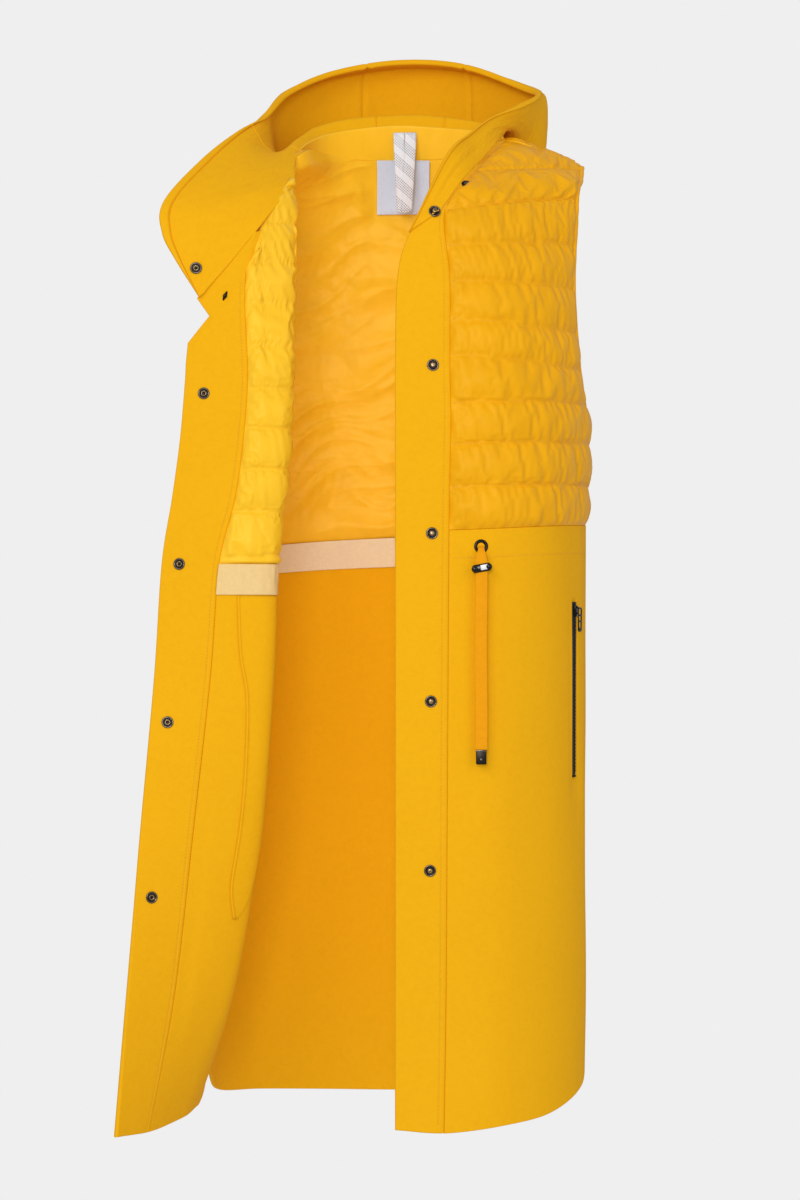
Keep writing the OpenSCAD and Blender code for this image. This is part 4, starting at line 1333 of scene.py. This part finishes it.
def snaps(bits, net, u, rows, profile):
    """A placket's snaps, each with the cap on its other face."""
    for v in rows:
        over_strip = 1.3 if v > 9 else 0.0          # the top one goes through the hood strip as well
        fitting(bits, profile, net, u, v, PLACKET_FACE + over_strip, 1)
        fitting(bits, CAP_PROFILE, net, u, v, PLACKET_FACE, -1)


def finish_snaps(bits, name, node):
    o = bits.done(name, gun_metal, ring_metal_and_highlight, brass)
    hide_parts(node)
    swings(o)


left_bits = Bits()
snaps(left_bits, FRONT_LEFT, 0.68, SNAP_ROWS_LEFT, STUD_PROFILE)
fitting(left_bits, CAP_PROFILE, FRONT_LEFT, 1.10, 9.84, 2.9, 1)          # the cap at the neck
finish_snaps(left_bits, "front_left_snap_studs", "front_left_snaps")
right_bits = Bits()
snaps(right_bits, FRONT_RIGHT, 0.30, SNAP_ROWS_RIGHT, SOCKET_PROFILE)
finish_snaps(right_bits, "front_right_snap_sockets", "front_right_snaps")
neck_snap_bits = Bits()                # the right neckband's snap, seen edge on between neckband and placket
neck_snap_path = [[-178, -116.5, -180.5], [-176, -117.6, -176], [-174, -117.0, -171.5]]
neck_snap_bits.add(*tube(neck_snap_path, [0.6, 2.2, 0.6], 12, 0.6))
neck_snap = neck_snap_bits.done("front_right_neckband_snap_edge", gun_metal)
swings(neck_snap)
flap_bits = Bits()
for profile, side in ((SOCKET_PROFILE, -1), (CAP_PROFILE, 1)):
    fitting(flap_bits, profile, HOOD_NET, 16.27, 4.53, 1.6, side)
finish_snaps(flap_bits, "hood_flap_snap_socket", "hood_flap_snap")

EYELET_PROFILE = [
    (3.7, -2.6, DARK), (6.9, -2.5, DARK), (6.9, -1.6, DARK), (4.3, -1.3, DARK),
    (4.3, 1.4, LIGHT), (7.0, 1.5, LIGHT), (7.1, 2.0, LIGHT), (6.6, 2.55, LIGHT),
    (5.6, 2.8, LIGHT), (4.5, 2.5, DARK), (3.7, 1.6, DARK), (3.7, -2.6, DARK),
]
EYELET_V = 3.85


def eyelet(node, net, u, body, side):
    bits = Bits()
    sides = 48
    points, faces, looks = lathe(EYELET_PROFILE, sides)
    axes, at = seat(net, u, EYELET_V, 0, side)
    own = len(points) - sides          # the last ring is the first one again, so its faces use that one
    faces = [[i % own for i in face] for face in faces[:-2]]
    bits.add(placed(points[:own], axes, at), faces, looks[:-2])
    o = bits.done(node + "_ring", black_metal, gun_metal)
    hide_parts(node)
    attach(o, body)


eyelet("front_left_eyelet", FRONT_LEFT, EYELET_U_LEFT, "front_left", 1)
eyelet("front_right_eyelet", FRONT_RIGHT, EYELET_U_RIGHT, "front_right", -1)

# ---------------------------------------------------------------- drawcord, lock and end
CORD_PATH = [
    [81, -131, -428.8], [81, -134, -429], [81, -137, -430], [81, -140, -432.5], [81, -143, -438],
    [81, -144, -448], [81, -144, -462], [81, -144, -480], [81, -144, -500], [81, -144, -522],
    [81, -144, -544], [81, -144, -566], [81, -144, -588], [81, -144, -604], [81, -144, -618],
    [81, -144, -632],
]
CORD_W = 12
cord_t = np.linspace(0, len(CORD_PATH) - 1, 150)
cord_line = weights(cord_t, len(CORD_PATH)) @ np.array(CORD_PATH, float)


def ribbon_cord(line, width):
    """A doubled flat ribbon: two layers with a groove between them, gathered where it leaves the eyelet."""
    along = unit(np.gradient(line, axis=0))
    across = np.array([1.0, 0, 0])
    lift = unit(np.cross(across, along))
    run = np.concatenate([[0], np.cumsum(np.linalg.norm(np.diff(line, axis=0), axis=1))])
    half = np.interp(run, [0, 9, 22], [3.0, 3.2, width / 2])
    angle = np.arange(20) * math.tau / 20
    x = np.sign(np.cos(angle)) * np.abs(np.cos(angle)) ** 0.35
    y = np.sign(np.sin(angle)) * np.abs(np.sin(angle)) ** 0.5
    y *= 1.1 - 0.35 * np.exp(-((np.abs(x) - 0.8) / 0.12) ** 2)
    shift = 0.25 * np.sin(run / 23.0)[:, None]
    points = line[:, None] + across * (x * half[:, None] + shift)[..., None]
    points = points + lift[:, None] * (y * 1.15)[None, :, None]
    return points.reshape(-1, 3), ring_faces(*points.shape[:2])


cord_bits = Bits()
cord_bits.add(*ribbon_cord(cord_line, CORD_W))
drawcord = cord_bits.done("drawcord_ribbon", ribbon)
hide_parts("drawcord_left")
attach(drawcord, "drawcord")

UPRIGHT = np.eye(3)
TO_THE_FRONT = np.array([[1.0, 0, 0], [0, 0, -1], [0, 1, 0]])          # a turned shape's top looks along -Y
END_AT = np.array([81, -144, -639])
end_bits = Bits()
add_box(end_bits, (10.5, 4.6, 14), 1.1, 0, UPRIGHT, END_AT, DARK)
# A paler band round the cap's top edge: a painted highlight where the black cap catches the light
add_box(end_bits, (11.0, 5.0, 2.2), 0.7, 0, UPRIGHT, [81, -144, -632.4], LIGHT)
points, faces, looks = lathe([(1.5, 0, LIGHT), (1.4, 0.5, LIGHT), (0.9, 0.75, LIGHT), (0.1, 0.8, LIGHT)], 20)
end_bits.add(placed(points, TO_THE_FRONT, END_AT + [0, -2.2, -2]), faces, looks)
cord_end = end_bits.done("cord_end_cap", gun_metal, ring_metal_and_highlight)
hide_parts("cord_end_left")
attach(cord_end, "drawcord")

LOCK_AT = np.array([81.5, -144, -450])
tilt = math.radians(-10)
lean = np.array([[math.cos(tilt), 0, math.sin(tilt)], [0, 1, 0], [-math.sin(tilt), 0, math.cos(tilt)]])
lock_bits = Bits()
add_box(lock_bits, (19, 7.2, 8.4), 2.6, 0, lean, LOCK_AT, segments=4)
# A thin pale plate over the front of the lock's right half: a painted highlight for the shine on the black
# metal
add_box(lock_bits, (8.4, 1.2, 5.2), 0.55, [3.0, -3.5, 0.3], lean, LOCK_AT, 1)
for x in (-7.2, 7.2):
    points, faces, looks = lathe([(3.0, -0.6, 0), (3.2, 0.3, 0), (2.6, 0.9, 0), (0.1, 1.1, 0)], 24)
    lock_bits.add(placed(placed(points, TO_THE_FRONT, [x, -3.3, 0]), lean, LOCK_AT), faces, looks)
cord_lock = lock_bits.done("cord_lock_bar", black_metal, painted_highlight_silver)
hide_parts("cord_lock_left")
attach(cord_lock, "cord_lock")

# ---------------------------------------------------------------- zips
ZIP_V = 3.35
SLIDER_TOP = -3.4
SLIDER_L = 12
BAIL_Y = -6.4
PULL_L = 24
TOOTH_PITCH = 1.9


def zip_axes(angle):
    a = math.radians(angle)
    return np.array([[math.cos(a), -math.sin(a), 0], [math.sin(a), math.cos(a), 0], [0, 0, 1.0]])


def zip_pieces(side_name, net, u_at, angle, slider_body, pull_body):
    """The closed zip of a pocket: its chain, its slider and the pull that hangs from the slider's bail."""
    front = f"front_{side_name}"
    axes = zip_axes(angle)
    at = np.append(surf(net, u_at, ZIP_V)[:2], ZIP_TOP)
    bits = Bits()
    points, faces = soft_box((11.0, 1.0, ZIP_LENGTH), 0.4, 2)
    points = np.array(points)
    points[:, 0] *= np.interp(points[:, 2], [-ZIP_LENGTH / 2, ZIP_LENGTH / 2 - 20], [0.45, 1.0])
    bits.add(placed(points + [0, -0.7, -ZIP_LENGTH / 2], axes, at), faces, 0)
    for k in range(int((ZIP_LENGTH - 6) / TOOTH_PITCH)):
        x = 0.75 if k % 2 else -0.75
        add_box(bits, (2.4, 2.4, 1.15), 0.35, [x, -1.5, -4 - TOOTH_PITCH * k], axes, at, 1, segments=1)
    for z in (-1.5, -ZIP_LENGTH + 1.2):
        add_box(bits, (5.6, 3.0, 2.2), 0.6, [0, -0.9, z], axes, at, 1, segments=2)
    chain = bits.done(f"{front}_zip_chain", zip_cloth, gun_metal)
    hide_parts(f"{front}_zip_tape")
    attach(chain, front)

    bits = Bits()
    middle = SLIDER_TOP - SLIDER_L / 2
    points, faces = soft_box((6.6, 2.2, SLIDER_L), 0.9, 3)
    points = np.array(points)
    points[:, 0] *= np.interp(points[:, 2], [-6, 1, 6], [0.72, 1.0, 1.06])
    bits.add(placed(points + [0, -2.9, middle], axes, at), faces, 0)
    bits.add(placed(points * [1, 0.32, 1] + [0, 0.35, middle], axes, at), faces, 0)
    add_box(bits, (1.6, 3.4, 3.0), 0.5, [0, -1.2, middle + 4.4], axes, at, segments=2)
    bail = [
        [0, -3.4, 4.2], [0, -5.2, 4.0], [0, BAIL_Y + 0.4, 2.2],
        [0, BAIL_Y + 0.4, -0.4], [0, -5.2, -2.2], [0, -3.4, -2.6],
    ]
    points, faces = tube(np.array(bail) + [0, 0, middle], 0.85, 10, up=(1, 0, 0))
    bits.add(placed(points, axes, at), faces, 0)
    slider = bits.done(f"zip_slider_{side_name}_body", black_metal)
    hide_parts(f"zip_slider_{side_name}")
    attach(slider, slider_body)

    bits = Bits()
    y = BAIL_Y - 1.1
    top = middle + 3.0
    low = top - PULL_L + 2.2
    corner = np.linspace(0, math.pi / 2, 6)
    outline = []
    for quarter, (cx, cz) in enumerate([(2.2, top - 1.6), (-2.2, top - 1.6), (-1.7, low), (1.7, low)]):
        for a in corner + quarter * math.pi / 2:
            outline.append([cx + 1.4 * math.cos(a), y, cz + 1.6 * math.sin(a)])
    points, faces = tube(outline, 0.95, 10, 0.8, up=(0, 1, 0), closed=True)
    bits.add(placed(points, axes, at), faces, 0)
    for z in (top - 7.2, top - 13.4):
        add_box(bits, (5.6, 1.5, 2.0), 0.6, [0, y, z], axes, at, segments=2)
    add_box(bits, (5.0, 1.6, 3.4), 0.7, [0, y, top - PULL_L + 2.4], axes, at, segments=2)
    pull = bits.done(f"zip_pull_{side_name}_plate", black_metal)
    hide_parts(f"zip_pull_{side_name}")
    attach(pull, pull_body)


zip_pieces("left", FRONT_LEFT, ZIP_U_LEFT, 62, "zip_slider_l", "zip_pull_l")
zip_pieces("right", FRONT_RIGHT, ZIP_U_RIGHT, -58, "zip_slider_r", "zip_pull_r")

# ---------------------------------------------------------------- stage, light, view
stage_material = bpy.data.materials.new("stage")
stage_material.use_nodes = True
socket(nodes_of(stage_material)[2], "Base Color", (0.86, 0.86, 0.86, 1))
socket(nodes_of(stage_material)[2], "Roughness", 1.0)
FLOOR_Z = -1.45
FLOOR_R = 1.2
FLOOR_SIDES = 96
plane = bpy.data.meshes.new("floor")
turn = [k * math.tau / FLOOR_SIDES for k in range(FLOOR_SIDES)]
rim = [(FLOOR_R * math.cos(a), FLOOR_R * math.sin(a), FLOOR_Z) for a in turn]
plane.from_pydata(rim, [], [list(range(FLOOR_SIDES))])
plane.materials.append(stage_material)
floor = bpy.data.objects.new("floor", plane)
bpy.context.scene.collection.objects.link(floor)

world = bpy.data.worlds.new("world")
bpy.context.scene.world = world
world.use_nodes = True
BACKDROP = (0.863, 0.863, 0.863, 1)
AMBIENT = 0.62                   # share of the backdrop's light that reaches the coat
sky = world.node_tree
sky_seen = sky.nodes["Background"]
sky_light = sky.nodes.new("ShaderNodeBackground")
sky_mix = sky.nodes.new("ShaderNodeMixShader")
ray = sky.nodes.new("ShaderNodeLightPath")
for background, strength in ((sky_seen, 1.0), (sky_light, AMBIENT)):
    background.inputs["Color"].default_value = BACKDROP
    background.inputs["Strength"].default_value = strength
sky.links.new(ray.outputs["Is Camera Ray"], sky_mix.inputs["Fac"])
sky.links.new(sky_light.outputs["Background"], sky_mix.inputs[1])
sky.links.new(sky_seen.outputs["Background"], sky_mix.inputs[2])
sky.links.new(sky_mix.outputs["Shader"], sky.nodes["World Output"].inputs["Surface"])


def area_light(name, at, towards, size, power):
    data = bpy.data.lights.new(name, "AREA")
    data.shape = "RECTANGLE"
    data.size, data.size_y = size
    data.energy = power
    o = bpy.data.objects.new(name, data)
    o.location = at
    o.rotation_euler = (Vector(towards) - Vector(at)).to_track_quat("-Z", "Y").to_euler()
    o.visible_camera = False
    bpy.context.scene.collection.objects.link(o)


area_light("key", (-1.3, -3.0, 1.2), (0, 0, -0.45), (1.4, 1.4), 26)
area_light("fill", (1.9, -2.6, 0.2), (0, 0, -0.5), (1.6, 1.6), 10)
area_light("front", (-0.25, -3.3, 0.0), (-0.05, 0, -0.4), (0.7, 1.0), 33)
area_light("inside", (-0.06, -0.09, -0.50), (-0.06, 0.12, -0.50), (0.09, 0.80), 0.23)
bpy.context.scene.view_settings.view_transform = "Standard"
